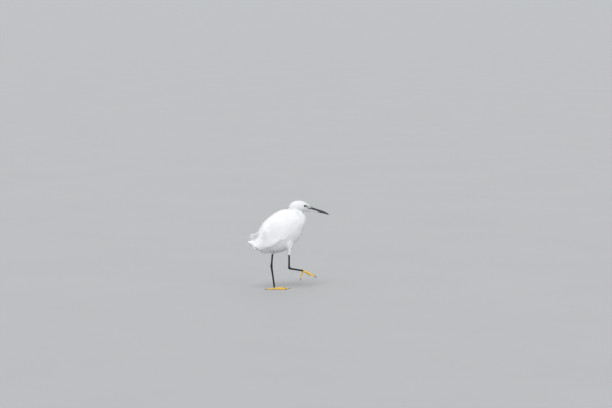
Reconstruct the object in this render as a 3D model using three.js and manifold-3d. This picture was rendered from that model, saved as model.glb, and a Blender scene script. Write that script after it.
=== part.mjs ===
// Little egret, life size, wading: hunched neck, head forward, the right foot lifted in mid step.
// Millimetres. +X is the way the bird faces, +Y is its left side, +Z is up.
// The origin is the middle of the sole of the standing foot, on the ground.

import * as THREE from "three";
import { mergeVertices } from "three/addons/utils/BufferGeometryUtils.js";
import Module from "manifold-3d";

const wasm = await Module();
wasm.setup();

// Driving sizes

const GAP = 0.35; // what two touching nodes keep between them
const RIGHT = -1; // sign of Y on each side
const LEFT = 1;

// The trunk from the shoulders to the rump, and on past it to the tips of the folded wings.
// Each station gives the back and the belly in the middle plane, and half the width there.
const TRUNK = [
  { u: -0.08, back: [87, 327], belly: [108, 290], wide: 24 },
  { u: 0.0, back: [79, 334], belly: [113, 263], wide: 33 },
  { u: 0.15, back: [57, 333], belly: [114, 237], wide: 41 },
  { u: 0.35, back: [21, 321], belly: [93, 203], wide: 47 },
  { u: 0.55, back: [-15, 298], belly: [56, 173], wide: 49 },
  { u: 0.75, back: [-44, 270], belly: [13, 156], wide: 45 },
  { u: 0.9, back: [-61, 242], belly: [-27, 156], wide: 37 },
  { u: 1.0, back: [-69, 226], belly: [-50, 161], wide: 31 },
  { u: 1.12, back: [-79, 211], belly: [-63, 163], wide: 26 },
  { u: 1.28, back: [-90, 195], belly: [-77, 166], wide: 22 },
];
const TRUNK_START = -0.08;
const TRUNK_END = 1.06;

// The folded neck, from the breast up into the head: front, nape side and half width.
const NECK = [
  { u: 0.0, back: [84, 282], belly: [114, 238], wide: 37 },
  { u: 0.25, back: [86, 304], belly: [129, 262], wide: 35 },
  { u: 0.5, back: [80, 322], belly: [134.5, 286], wide: 31 },
  { u: 0.75, back: [66, 336], belly: [129, 308], wide: 25 },
  { u: 1.0, back: [61, 347], belly: [114, 325], wide: 16 },
];
const NECK_PARTING = 0.55;
const NECK_LENGTH = 95; // along its middle
const NECK_FOLD = 0.1; // depth of the fold on each side, as a share of the half width

// The head from the nape to the feathers round the bill.
const HEAD = [
  { u: 0.0, back: [60, 344], belly: [62, 325], wide: 11 },
  { u: 0.14, back: [72, 356.5], belly: [74, 317], wide: 17 },
  { u: 0.3, back: [88, 365], belly: [90, 315], wide: 20 },
  { u: 0.47, back: [104, 366.5], belly: [105, 316.5], wide: 20.5 },
  { u: 0.63, back: [120, 364], belly: [120, 319], wide: 18 },
  { u: 0.78, back: [134, 357.5], belly: [133, 320.5], wide: 14 },
  { u: 0.9, back: [146, 350], belly: [146, 321.5], wide: 10 },
  { u: 1.0, back: [153, 345], belly: [155, 322.5], wide: 7.6 },
];
const HEAD_LENGTH = 95;
const CHIN_TIP = [173, 319.3];
const GAPE = [
  { u: 0.94, turn: 89 },
  { u: 0.84, turn: 96 },
  { u: 0.74, turn: 103 },
  { u: 0.66, turn: 108 },
];
const GAPE_RADIUS = 0.5;
const EYE = { at: [127, 11.4, 345], radius: 5.0 };
const LID = { thick: 0.8, openWide: 4.6, openHigh: 4.1 };

// The bill: culmen, mouth line and lower edge.
const BILL = [
  { u: 0.0, culmen: [146, 347.5], mouth: [143, 334.3], keel: [142, 324.5], wide: 7.4 },
  { u: 0.2, culmen: [165, 337.6], mouth: [162, 328], keel: [160.5, 320.6], wide: 5.6 },
  { u: 0.4, culmen: [182, 331.6], mouth: [180, 323], keel: [178.5, 316.8], wide: 4.4 },
  { u: 0.6, culmen: [200, 325], mouth: [198, 317.9], keel: [197, 313], wide: 3.6 },
  { u: 0.8, culmen: [216, 318.2], mouth: [214.5, 312.5], keel: [213.7, 309], wide: 2.8 },
  { u: 0.93, culmen: [228, 311.2], mouth: [227, 307.8], keel: [226.2, 305.6], wide: 1.7 },
  { u: 1.0, culmen: [234.5, 305.4], mouth: [233.6, 304.5], keel: [232.4, 303.2], wide: 0.6 },
];
const NOSTRIL = { at: [166, 5.1, 332.6], long: 5, high: 0.9, deep: 1.4 };

// Legs: the hip end of the feathered thigh, the end of its feathers, the ankle and the foot.
const SHANK_RADIUS = 3.0;
const ANKLE_RADIUS = 4.6;
const TARSUS = { wide: 2.5, deep: 3.2 };
const HUB_RADIUS = 4.2;
const HUB_HEIGHT = 4.0;
const LEGS = {
  left: {
    thigh: [
      { at: [10, 17, 196], radius: 24 },
      { at: [3, 16, 175], radius: 17 },
      { at: [-3, 15, 158], radius: 8.5 },
      { at: [-5, 14, 146], radius: 4.6 },
    ],
    ankle: [-11.5, 7, 95.6],
    hub: [0, 0, HUB_HEIGHT],
    hubLean: [0.1, 0, -1],
    toeRoot: 11, // length of each toe's root, which belongs to the foot
  },
  right: {
    thigh: [
      { at: [46, -15, 214], radius: 28 },
      { at: [54, -23, 189], radius: 19.5 },
      { at: [56.5, -29.5, 165], radius: 8.8 },
      { at: [54, -30.5, 144], radius: 4.6 },
    ],
    ankle: [53.5, -33, 89.5],
    hub: [127.5, 17, 71],
    hubLean: [0.8, 0.4, -0.6],
    toeRoot: 16,
  },
};

// Toes: length of the flesh, turn from straight ahead towards the outer side, and radius at the root.
const TOES = [
  { name: "inner", length: 46, turn: -34, radius: 3.0 },
  { name: "middle", length: 60, turn: 0, radius: 3.2 },
  { name: "outer", length: 53, turn: 32, radius: 3.0 },
  { name: "hind", length: 33, turn: 176, radius: 2.9 },
];
const TOE_TIP_RADIUS = 1.9;
const RAISED_TOES = {
  inner: { aim: [0.72, 0.6, -0.39], droop: 0.1 },
  middle: { aim: [0.9, 0.26, -0.35], droop: 0.06 },
  outer: { aim: [0.93, -0.12, -0.42], droop: 0.08 },
  hind: { aim: [-0.3, 0.0, -0.94], droop: -0.02 },
};
const TOE_STEPS = 5;
const TOE_FLAT = 0.55; // how far the sole is cut up into a toe that stands on the ground
const TOE_TIP = 0.9; // how far the rounded end of the flesh runs on
const CLAW = { length: 9, radius: 1.5 };

// Shape tools

// A smooth curve through the stations' values of one size, at u.
function sizeAt(stations, u, pick) {
  const last = stations.length - 1;
  let i = 0;
  while (i < last - 1 && u > stations[i + 1].u) i += 1;
  const a = stations[i];
  const b = stations[i + 1];
  const before = stations[Math.max(i - 1, 0)];
  const after = stations[Math.min(i + 2, last)];
  const span = b.u - a.u;
  const t = (u - a.u) / span;
  const slopeA = ((pick(b) - pick(before)) / (b.u - before.u)) * span;
  const slopeB = ((pick(after) - pick(a)) / (after.u - a.u)) * span;
  const t2 = t * t;
  const t3 = t2 * t;
  return (
    (2 * t3 - 3 * t2 + 1) * pick(a) +
    (t3 - 2 * t2 + t) * slopeA +
    (3 * t2 - 2 * t3) * pick(b) +
    (t3 - t2) * slopeB
  );
}

// A closed surface through rings of points, with a fan at each end. Each ring turns the same way.
function skinOf(rings) {
  const around = rings[0].length;
  const points = rings.flat();
  const faces = [];
  rings.slice(1).forEach((_, r) => {
    for (let k = 0; k < around; k += 1) {
      const a = r * around + k;
      const b = r * around + ((k + 1) % around);
      faces.push([a, b, b + around], [a, b + around, a + around]);
    }
  });
  [0, rings.length - 1].forEach((r) => {
    const middle = new THREE.Vector3();
    rings[r].forEach((p) => middle.addScaledVector(p, 1 / around));
    const hub = points.push(middle) - 1;
    for (let k = 0; k < around; k += 1) {
      const a = r * around + k;
      const b = r * around + ((k + 1) % around);
      faces.push(r === 0 ? [hub, b, a] : [hub, a, b]);
    }
  });
  return solidOf(points, faces);
}

function solidOf(points, faces) {
  const geometry = new THREE.BufferGeometry();
  const flat = points.flatMap((p) => [p.x, p.y, p.z]);
  geometry.setAttribute("position", new THREE.Float32BufferAttribute(flat, 3));
  geometry.setIndex(faces.flat());
  return solidFrom(geometry);
}

// A manifold-3d solid from a closed three.js geometry, turned the right way out.
function solidFrom(geometry) {
  const bare = geometry.clone();
  bare.deleteAttribute("normal");
  bare.deleteAttribute("uv");
  const merged = mergeVertices(bare, 1e-4);
  const triVerts = new Uint32Array(merged.index.array);
  const make = () =>
    new wasm.Manifold(
      new wasm.Mesh({ numProp: 3, vertProperties: merged.attributes.position.array, triVerts }),
    );
  const solid = make();
  if (solid.volume() > 0) return solid;
  for (let i = 0; i < triVerts.length; i += 3) {
    [triVerts[i + 1], triVerts[i + 2]] = [triVerts[i + 2], triVerts[i + 1]];
  }
  return make();
}

function geometryOf(solid) {
  const mesh = solid.getMesh();
  const points = new Float32Array(mesh.numVert * 3);
  for (let i = 0; i < mesh.numVert; i += 1) {
    points.set(mesh.vertProperties.subarray(i * mesh.numProp, i * mesh.numProp + 3), i * 3);
  }
  const geometry = new THREE.BufferGeometry();
  geometry.setAttribute("position", new THREE.BufferAttribute(points, 3));
  geometry.setIndex(new THREE.BufferAttribute(mesh.triVerts, 1));
  geometry.computeVertexNormals();
  return geometry;
}

// The largest closed surface of a solid: loose scraps and sealed hollows are left behind.
function largest(solid) {
  return solid.decompose().reduce((best, piece) => (piece.volume() > best.volume() ? piece : best));
}

function joined(pieces) {
  return pieces.reduce((whole, piece) => whole.add(piece));
}

// A point on a body given by stations: turn 0 is the back, +-180 degrees the belly; lift is outward.
function surfacePoint(stations, u, turn, lift = 0, shrink = 1, fold = 0) {
  const at = (pick) => sizeAt(stations, u, pick);
  const top = new THREE.Vector3(at((s) => s.back[0]), 0, at((s) => s.back[1]));
  const low = new THREE.Vector3(at((s) => s.belly[0]), 0, at((s) => s.belly[1]));
  const middle = top.clone().add(low).multiplyScalar(0.5);
  const up = top.clone().sub(middle);
  const deep = up.length();
  up.normalize();
  const pinch = 1 - fold * Math.exp(-(((Math.abs(turn) - Math.PI / 2) / 0.3) ** 2));
  const wide = at((s) => s.wide) * pinch;
  const c = Math.cos(turn);
  const s = Math.sin(turn);
  const out = new THREE.Vector3(0, s / wide, 0).addScaledVector(up, c / deep).normalize();
  return middle
    .addScaledVector(up, c * deep * shrink)
    .add(new THREE.Vector3(0, s * wide * shrink, 0))
    .addScaledVector(out, lift);
}

// A closed body through stations, from one u to another, with a rounded or a flat end on each side.
function bodyOf(stations, { from, to, around, along, grow = 0, round = [0, 0], fold = 0 }) {
  const rings = [];
  for (let i = 0; i <= along; i += 1) {
    const ease = 0.5 - 0.5 * Math.cos((Math.PI * i) / along);
    const u = from + (to - from) * (0.45 * ease + (0.55 * i) / along);
    const start = round[0] ? Math.min((u - from) / round[0], 1) : 1;
    const end = round[1] ? Math.min((to - u) / round[1], 1) : 1;
    const shrink = Math.max(Math.sqrt(1 - (1 - start) ** 2) * Math.sqrt(1 - (1 - end) ** 2), 0.04);
    const ring = [];
    for (let k = 0; k < around; k += 1) {
      ring.push(surfacePoint(stations, u, (2 * Math.PI * k) / around, grow, shrink, fold));
    }
    rings.push(ring);
  }
  return skinOf(rings);
}

// A round-sectioned limb through points with a radius, or two half sizes, at each.
function limbOf(stations, { around = 10, steps = 3, grow = 0, tip = 0, side = [0, 1, 0] } = {}) {
  const path = new THREE.CatmullRomCurve3(
    stations.map((s) => new THREE.Vector3(...s.at)),
    false,
    "centripetal",
  );
  const count = (stations.length - 1) * steps;
  const rings = [];
  for (let i = 0; i <= count; i += 1) {
    const t = i / count;
    const here = path.getPoint(t);
    const along = path.getTangent(t);
    const across = new THREE.Vector3(...side).cross(along).normalize();
    const level = along.clone().cross(across).normalize();
    const near = Math.min(Math.floor(i / steps), stations.length - 2);
    const share = i / steps - near;
    const pick = (key) => {
      const a = stations[near];
      const b = stations[near + 1];
      return THREE.MathUtils.lerp(a[key] ?? a.radius, b[key] ?? b.radius, share);
    };
    const end = i === 0 ? -1 : i === count ? 1 : 0;
    here.addScaledVector(along, end * grow);
    const ring = [];
    for (let k = 0; k < around; k += 1) {
      const turn = (2 * Math.PI * (k + 0.5)) / around;
      ring.push(
        here
          .clone()
          .addScaledVector(across, Math.cos(turn) * (pick("deep") + grow))
          .addScaledVector(level, Math.sin(turn) * (pick("wide") + grow)),
      );
    }
    rings.push(ring);
  }
  if (tip) {
    const last = rings[count];
    const middle = new THREE.Vector3();
    last.forEach((p) => middle.addScaledVector(p, 1 / around));
    const along = path.getTangent(1);
    rings.push(
      last.map((p) => p.clone().lerp(middle, 0.35).addScaledVector(along, tip * 0.6)),
      last.map((p) => p.clone().lerp(middle, 0.8).addScaledVector(along, tip)),
    );
  }
  return skinOf(rings);
}

function ballAt(at, radius, detail = 14) {
  const geometry = new THREE.SphereGeometry(radius, detail, Math.round(detail / 2));
  return solidFrom(geometry.translate(...at));
}

// A closed shell over part of the trunk: a grid of points lifted to two heights.
function shellOf({ from, to, along, across, turns, outer, inner, side }) {
  const points = [];
  const faces = [];
  const wideCount = across + 1;
  const layer = (along + 1) * wideCount;
  [outer, inner].forEach((height) => {
    for (let i = 0; i <= along; i += 1) {
      const u = from + ((to - from) * i) / along;
      const [high, low] = turns(u);
      for (let j = 0; j <= across; j += 1) {
        const v = j / across;
        const turn = THREE.MathUtils.degToRad(high + (low - high) * v) * side;
        points.push(surfacePoint(TRUNK, u, turn, height(u, v)));
      }
    }
  });
  const quad = (a, b, c, d) => faces.push([a, b, c], [a, c, d]);
  for (let i = 0; i < along; i += 1) {
    for (let j = 0; j < across; j += 1) {
      const a = i * wideCount + j;
      quad(a, a + 1, a + 1 + wideCount, a + wideCount);
      quad(layer + a, layer + a + wideCount, layer + a + wideCount + 1, layer + a + 1);
    }
    const first = i * wideCount;
    const last = first + across;
    quad(first, first + wideCount, layer + first + wideCount, layer + first);
    quad(last + wideCount, last, layer + last, layer + last + wideCount);
  }
  for (let j = 0; j < across; j += 1) {
    const far = along * wideCount + j;
    quad(j + 1, j, layer + j, layer + j + 1);
    quad(far, far + 1, layer + far + 1, layer + far);
  }
  return solidOf(points, faces);
}

// Materials

const paint = (color, roughness) => new THREE.MeshStandardMaterial({ color, roughness, metalness: 0 });
const PLUMAGE = paint(0xf1f0ee, 0.9);
const BILL_BLACK = paint(0x1e2228, 0.4);
const LEG_BLACK = paint(0x1a1a1c, 0.55);
const TOE_YELLOW = paint(0xd9a52c, 0.55);
const CLAW_DARK = paint(0x2a2622, 0.4);
const EYE_YELLOW = paint(0xcdbb55, 0.1);

const bird = new THREE.Group();

function place(name, solid, material) {
  const mesh = new THREE.Mesh(geometryOf(largest(solid)), material);
  mesh.name = name;
  bird.add(mesh);
}

// Trunk, neck and head

const trunkShape = (grow) =>
  bodyOf(TRUNK, {
    from: TRUNK_START,
    to: TRUNK_END,
    around: 22,
    along: 15,
    grow,
    round: [0.12, 0.2],
  });
const torso = trunkShape(0);
const torsoRoom = trunkShape(GAP);

// The two lengths of the neck part along a thin cut, as a share of its length.
const neckStep = GAP / 2 / NECK_LENGTH;
const neckHalf = (from, to, grow) =>
  bodyOf(NECK, { from, to, around: 22, along: 6, grow, fold: NECK_FOLD });
const lowerNeck = (grow) => neckHalf(0, NECK_PARTING - neckStep, grow);
const upperNeck = (grow) => neckHalf(NECK_PARTING + neckStep, 1, grow);

const headOf = (grow) =>
  bodyOf(HEAD, { from: 0, to: 1 + grow / HEAD_LENGTH, around: 22, along: 13, grow, round: [0.12, 0] });
const headLoft = headOf(0);

// The feathered wedge of the chin, which runs out under the bill.
const chinOf = (grow) =>
  limbOf(
    [
      { at: [146, 0, 326], deep: 4.2, wide: 6.6 },
      { at: [160, 0, 321.8], deep: 2.2, wide: 4.4 },
      { at: [CHIN_TIP[0], 0, CHIN_TIP[1] + 0.4], deep: 0.7, wide: 1.2 },
    ],
    { around: 10, steps: 2, tip: 0.6, grow },
  );

const eyeAt = (side, grow) => ballAt([EYE.at[0], side * EYE.at[1], EYE.at[2]], EYE.radius + grow, 12);

// The opening between the lids: a rounded prism from the middle of the eye outwards.
function lidOpening(side) {
  const opening = new THREE.CylinderGeometry(1, 1, 12, 12).scale(LID.openWide, 1, LID.openHigh);
  opening.translate(EYE.at[0], side * (EYE.at[1] + 6), EYE.at[2]);
  return solidFrom(opening);
}

// The line of the mouth runs on as a crease from the bill to below the eye.
function gapeCrease(side) {
  const stations = GAPE.map(({ u, turn }) => ({
    at: surfacePoint(HEAD, u, side * THREE.MathUtils.degToRad(turn), 0.15).toArray(),
    radius: GAPE_RADIUS,
  }));
  return limbOf(stations, { around: 5, steps: 1, side: [0, 0, 1] });
}

let head = joined([headLoft, chinOf(0), eyeAt(LEFT, GAP + LID.thick), eyeAt(RIGHT, GAP + LID.thick)]);
[LEFT, RIGHT].forEach((side) => {
  head = head.subtract(eyeAt(side, GAP)).subtract(lidOpening(side)).subtract(gapeCrease(side));
});
head = head.subtract(upperNeck(GAP)).subtract(lowerNeck(GAP)).subtract(torsoRoom);

place("torso", torso, PLUMAGE);
place("neck_lower", lowerNeck(0).subtract(torsoRoom), PLUMAGE);
place("neck_upper", upperNeck(0).subtract(torsoRoom), PLUMAGE);
place("head", head, PLUMAGE);
place("eye_left", eyeAt(LEFT, 0), EYE_YELLOW);
place("eye_right", eyeAt(RIGHT, 0), EYE_YELLOW);

// Bill

// A mandible: one face follows the mouth line, the other the culmen or the keel.
function mandibleOf(edge, drop) {
  const rings = [];
  const steps = 10;
  for (let i = 0; i <= steps; i += 1) {
    const u = i / steps;
    const at = (pick) => sizeAt(BILL, u, pick);
    const mouth = new THREE.Vector3(at((s) => s.mouth[0]), 0, at((s) => s.mouth[1]) + drop);
    const far = new THREE.Vector3(at((s) => s[edge][0]), 0, at((s) => s[edge][1]));
    const up = far.clone().sub(mouth);
    const deep = Math.max(up.length() - GAP / 2, 0.35);
    up.normalize();
    const wide = at((s) => s.wide);
    const ring = [];
    const around = 10;
    for (let k = 0; k < around; k += 1) {
      const turn = (2 * Math.PI * (k + 0.5)) / around;
      const c = Math.cos(turn);
      const height = c > 0 ? c * deep : 0;
      ring.push(
        mouth
          .clone()
          .addScaledVector(up, height)
          .add(new THREE.Vector3(0, Math.sin(turn) * wide, 0)),
      );
    }
    rings.push(ring);
  }
  return skinOf(rings);
}

const headRoom = joined([headOf(GAP), chinOf(GAP)]);

let billUpper = mandibleOf("culmen", GAP / 2);
[LEFT, RIGHT].forEach((side) => {
  const slit = new THREE.SphereGeometry(1, 10, 6);
  slit.scale(NOSTRIL.long, NOSTRIL.deep, NOSTRIL.high);
  slit.rotateY(0.33);
  slit.translate(NOSTRIL.at[0], side * NOSTRIL.at[1], NOSTRIL.at[2]);
  billUpper = billUpper.subtract(solidFrom(slit));
});
place("bill_upper", billUpper.subtract(headRoom), BILL_BLACK);
place("bill_lower", mandibleOf("keel", -GAP / 2).subtract(headRoom), BILL_BLACK);

// Legs

const groundBox = solidFrom(new THREE.BoxGeometry(600, 600, 100).translate(0, 0, -50));
const vec = (a) => new THREE.Vector3(...a);

// A toe from one reach to another, with a slight swelling at each joint.
function toePath(leg, toe, side, standing, from, to, steps) {
  const hub = vec(leg.hub);
  const turn = THREE.MathUtils.degToRad(toe.turn) * side;
  const raised = RAISED_TOES[toe.name];
  return Array.from({ length: steps + 1 }, (_, i) => {
    const reach = THREE.MathUtils.lerp(from, to, i / steps);
    const t = reach / toe.length;
    const swell = i % 2 ? 0.94 : 1.06;
    const radius = THREE.MathUtils.lerp(toe.radius, TOE_TIP_RADIUS, t) * swell;
    if (standing) {
      return { at: [Math.cos(turn) * reach, Math.sin(turn) * reach, radius - TOE_FLAT], radius };
    }
    const at = hub.clone().addScaledVector(vec(raised.aim).normalize(), reach);
    return { at: [at.x, at.y, at.z - raised.droop * reach * t], radius };
  });
}

function clawOf(path) {
  const end = vec(path[path.length - 1].at);
  const before = vec(path[path.length - 2].at);
  const ahead = end.clone().sub(before).normalize();
  const at = (reach, fall) => {
    const p = end.clone().addScaledVector(ahead, TOE_TIP + GAP + reach);
    return [p.x, p.y, Math.max(p.z - fall, CLAW.radius)];
  };
  return limbOf(
    [
      { at: at(0, 0), radius: CLAW.radius },
      { at: at(CLAW.length * 0.5, 0), radius: 1.15 },
      { at: at(CLAW.length, 1), radius: 0.4 },
    ],
    { around: 6, steps: 1 },
  );
}

Object.entries(LEGS).forEach(([name, leg]) => {
  const side = name === "left" ? LEFT : RIGHT;
  const standing = name === "left";
  const thighEnd = leg.thigh[leg.thigh.length - 1];
  const thigh = limbOf(leg.thigh, { around: 14, steps: 3 }).subtract(torsoRoom);
  place(`thigh_${name}`, thigh, PLUMAGE);

  const end = vec(thighEnd.at);
  const ankle = vec(leg.ankle);
  const down = ankle.clone().sub(end).normalize();
  const top = end.clone().addScaledVector(down, GAP);
  const near = ankle.clone().addScaledVector(down, -9);
  const shankStations = [
    { at: top.toArray(), radius: SHANK_RADIUS },
    { at: top.clone().lerp(near, 0.5).toArray(), radius: SHANK_RADIUS * 0.93 },
    { at: near.toArray(), radius: SHANK_RADIUS * 1.1 },
    { at: ankle.toArray(), radius: ANKLE_RADIUS * 0.85 },
  ];
  const shankShape = (grow) =>
    joined([limbOf(shankStations, { grow, steps: 1 }), ballAt(leg.ankle, ANKLE_RADIUS + grow, 10)]);
  place(`shank_${name}`, shankShape(0), LEG_BLACK);

  const hub = vec(leg.hub);
  const along = hub.clone().sub(ankle).normalize();
  const tarsusEnd = hub.clone().addScaledVector(along, standing ? -3.5 : -4.5);
  const alongTarsus = (share) => ankle.clone().lerp(tarsusEnd, share).toArray();
  const knuckleTop = tarsusEnd.clone().addScaledVector(along, GAP).toArray();
  const tarsus = limbOf(
    [
      { at: leg.ankle, deep: TARSUS.deep * 1.25, wide: TARSUS.wide * 1.25 },
      { at: alongTarsus(0.12), deep: TARSUS.deep * 1.1, wide: TARSUS.wide * 1.1 },
      { at: alongTarsus(0.5), deep: TARSUS.deep * 0.92, wide: TARSUS.wide * 0.92 },
      { at: tarsusEnd.toArray(), deep: TARSUS.deep, wide: TARSUS.wide * 1.15 },
    ],
    { around: 10, steps: 2 },
  );
  place(`tarsus_${name}`, tarsus.subtract(shankShape(GAP)), LEG_BLACK);

  const knuckle = limbOf(
    [
      { at: knuckleTop, deep: TARSUS.deep, wide: TARSUS.wide * 1.15 },
      { at: hub.toArray(), radius: HUB_RADIUS },
      { at: hub.clone().addScaledVector(vec(leg.hubLean), HUB_HEIGHT).toArray(), radius: HUB_RADIUS * 0.9 },
    ],
    { around: 10, steps: 1 },
  );
  const onGround = (solid) => (standing ? solid.subtract(groundBox) : solid);
  const roots = TOES.map((toe) =>
    limbOf(toePath(leg, toe, side, standing, 0, leg.toeRoot, 1), { around: 8, steps: 1 }),
  );
  place(`foot_${name}`, onGround(joined([knuckle, ...roots])), TOE_YELLOW);
  TOES.forEach((toe) => {
    const path = toePath(leg, toe, side, standing, leg.toeRoot + GAP, toe.length, TOE_STEPS);
    const flesh = limbOf(path, { around: 8, steps: 1, tip: TOE_TIP });
    place(`toe_${toe.name}_${name}`, onGround(flesh), TOE_YELLOW);
    place(`claw_${toe.name}_${name}`, clawOf(path), CLAW_DARK);
  });
});

// Feathers

const FEATHER_THICK = 0.7;

// Each vane widens from its root and closes in a rounded tip: place along it and share of its width.
const LONG_VANE = [
  [0, 0.3],
  [0.4, 0.9],
  [0.88, 0.95],
  [1, 0.4],
];
const SHORT_VANE = [
  [0, 0.35],
  [0.6, 1],
  [0.9, 0.8],
  [1, 0.35],
];
const TAIL_VANE = [
  [0, 0.45],
  [0.86, 1],
  [1, 0.5],
];
const PLUME_VANE = [
  [0, 0.8],
  [0.4, 1],
  [0.8, 0.55],
  [1, 0.12],
];

// A closed vane through middle points with a normal at each: both faces split into triangles alike.
function vaneOf(sections) {
  const points = [];
  const faces = [];
  const count = sections.length;
  sections.forEach(({ at, ahead, normal, wide, tilt, curve }) => {
    const across = normal.clone().cross(ahead).normalize();
    [0, 1].forEach((face) => {
      [-1, 0, 1].forEach((x) => {
        const out = (x * wide) / 2;
        const lift = tilt * out - (out * out) / (2 * curve) + face * FEATHER_THICK;
        points.push(at.clone().addScaledVector(across, out).addScaledVector(normal, lift));
      });
    });
  });
  const quad = (a, b, c, d) => faces.push([a, b, c], [a, c, d]);
  for (let i = 0; i < count - 1; i += 1) {
    const a = i * 6;
    const b = a + 6;
    [0, 1].forEach((x) => {
      quad(a + x, a + x + 1, b + x + 1, b + x);
      quad(a + x + 4, a + x + 3, b + x + 3, b + x + 4);
    });
    quad(a, b, b + 3, a + 3);
    quad(b + 2, a + 2, a + 5, b + 5);
  }
  const end = (count - 1) * 6;
  [0, 1].forEach((x) => {
    quad(x + 1, x, x + 3, x + 4);
    quad(end + x, end + x + 1, end + x + 4, end + x + 3);
  });
  return solidOf(points, faces);
}

// A vane laid over the trunk from root to tip, each given as [u, turn in degrees, lift].
function trunkVane({ root, tip, wide, tilt, side, form = LONG_VANE, curve = 100 }) {
  const place3 = (t, lift) => {
    const u = THREE.MathUtils.lerp(root[0], tip[0], t);
    const turn = THREE.MathUtils.degToRad(THREE.MathUtils.lerp(root[1], tip[1], t)) * side;
    return surfacePoint(TRUNK, u, turn, lift);
  };
  const sections = form.map(([t, share]) => {
    const lift = THREE.MathUtils.lerp(root[2], tip[2], Math.min(t / 0.6, 1));
    const at = place3(t, lift);
    return {
      at,
      ahead: place3(t + 0.02, lift).sub(place3(t - 0.02, lift)).normalize(),
      normal: place3(t, lift + 1).sub(at).normalize(),
      wide: wide * share,
      tilt: tilt * side,
      curve,
    };
  });
  return vaneOf(sections);
}

// A tier of vanes: the first and the last are given, and the others lie evenly between them.
function tierOf({ count, first, last, side, vary = 0.01, seed = 1, ...rest }) {
  const mix = (a, b, t) => a.map((value, i) => THREE.MathUtils.lerp(value, b[i], t));
  return Array.from({ length: count }, (_, i) => {
    const t = count > 1 ? i / (count - 1) : 0;
    const tip = mix(first.tip, last.tip, t);
    tip[0] += vary * Math.sin(12.9 * (i + 1) * seed + side);
    return trunkVane({
      root: mix(first.root, last.root, t),
      tip,
      wide: THREE.MathUtils.lerp(first.wide, last.wide, t),
      side,
      ...rest,
    });
  });
}

// Tail: a core and the rectrices, stacked like a tent with the middle ones on top.

const TAIL = {
  count: 12,
  root: [-54, 200],
  tip: [-110, 196],
  rootWide: 9,
  tipWide: 20,
  droop: 21, // how far the outer tips lie below the middle ones
  shorter: 15, // how far they end before them
  wide: 14,
  step: FEATHER_THICK + GAP,
};
const TAIL_CORE = [
  { at: [-48, 0, 199], deep: 8, wide: 16 },
  { at: [-70, 0, 194], deep: 7, wide: 15 },
  { at: [-84, 0, 189.5], deep: 4.5, wide: 13 },
];

function rectrix(i) {
  const s = (2 * i) / (TAIL.count - 1) - 1;
  const layer = Math.floor(Math.abs(s) * (TAIL.count / 2)) + (s > 0 ? 0.5 : 0);
  const tip = new THREE.Vector3(
    TAIL.tip[0] + TAIL.shorter * s * s,
    TAIL.tipWide * s,
    TAIL.tip[1] - TAIL.droop * s * s - layer * TAIL.step,
  );
  const root = new THREE.Vector3(TAIL.root[0], TAIL.rootWide * s, TAIL.root[1] - 4 * s * s - layer * 0.6);
  const ahead = tip.clone().sub(root).normalize();
  const normal = new THREE.Vector3(0, 1.3 * s, 1).normalize();
  normal.addScaledVector(ahead, -normal.dot(ahead)).normalize();
  return vaneOf(
    TAIL_VANE.map(([t, share]) => ({
      at: root.clone().lerp(tip, t),
      ahead,
      normal,
      wide: TAIL.wide * share,
      tilt: 0,
      curve: 60,
    })),
  );
}

const rectrices = Array.from({ length: TAIL.count }, (_, i) => rectrix(i));
const tail = joined([limbOf(TAIL_CORE, { around: 14, steps: 2 }), ...rectrices]);
place("tail", tail.subtract(torsoRoom), PLUMAGE);

// Wings: a core over the arm and hand, with tiers of coverts over the flight feathers.

const WING_CORE = { from: 0.08, to: 0.6, low: 0.9 };
const wingTurns = (u) => [34 + 4 * u, 93 + 12 * u];

// Lift of the core's outer face: highest over the arm, then level over the roots of the flight feathers.
function wingHeight(u, v) {
  const rise = THREE.MathUtils.smoothstep(u, WING_CORE.from, 0.22);
  const fall = THREE.MathUtils.smoothstep(u, 0.22, 0.4);
  const arch = Math.sqrt(Math.max(4 * v * (1 - v), 0));
  return WING_CORE.low + 0.9 + (0.6 + 3.6 * rise - 1.5 * fall) * (0.3 + 0.7 * arch);
}

const WING_TIERS = {
  primaries: {
    count: 4,
    first: { root: [0.56, 92, 1.8], tip: [1.26, 84, 3.9], wide: 10 },
    last: { root: [0.56, 97, 1.6], tip: [1.08, 108, 1.5], wide: 10 },
    tilt: 0.14,
  },
  secondaries: {
    count: 9,
    first: { root: [0.45, 43, 1.7], tip: [1.2, 52, 2.6], wide: 17 },
    last: { root: [0.48, 95, 2.2], tip: [0.8, 112, 3.4], wide: 14 },
    tilt: 0.15,
  },
  greater: {
    count: 7,
    first: { root: [0.3, 43, 2.6], tip: [0.82, 46, 5.2], wide: 18 },
    last: { root: [0.32, 92, 2.8], tip: [0.6, 105, 5.6], wide: 16 },
    tilt: 0.11,
    form: SHORT_VANE,
  },
  median: {
    count: 6,
    first: { root: [0.16, 48, 3.2], tip: [0.48, 52, 7.0], wide: 19 },
    last: { root: [0.18, 88, 3.2], tip: [0.38, 98, 7.4], wide: 19 },
    tilt: 0.1,
    form: SHORT_VANE,
  },
};

[LEFT, RIGHT].forEach((side) => {
  const core = shellOf({
    from: WING_CORE.from,
    to: WING_CORE.to,
    along: 9,
    across: 5,
    turns: wingTurns,
    outer: wingHeight,
    inner: () => WING_CORE.low,
    side,
  });
  const vanes = Object.values(WING_TIERS).flatMap((tier, i) => tierOf({ ...tier, side, seed: i + 1 }));
  const wing = joined([core, ...vanes]).subtract(torsoRoom);
  place(side === LEFT ? "wing_left" : "wing_right", wing, PLUMAGE);
});

// Plumes of the back: a core over the shoulders, rows of scapulars and the fine long plumes.

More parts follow.
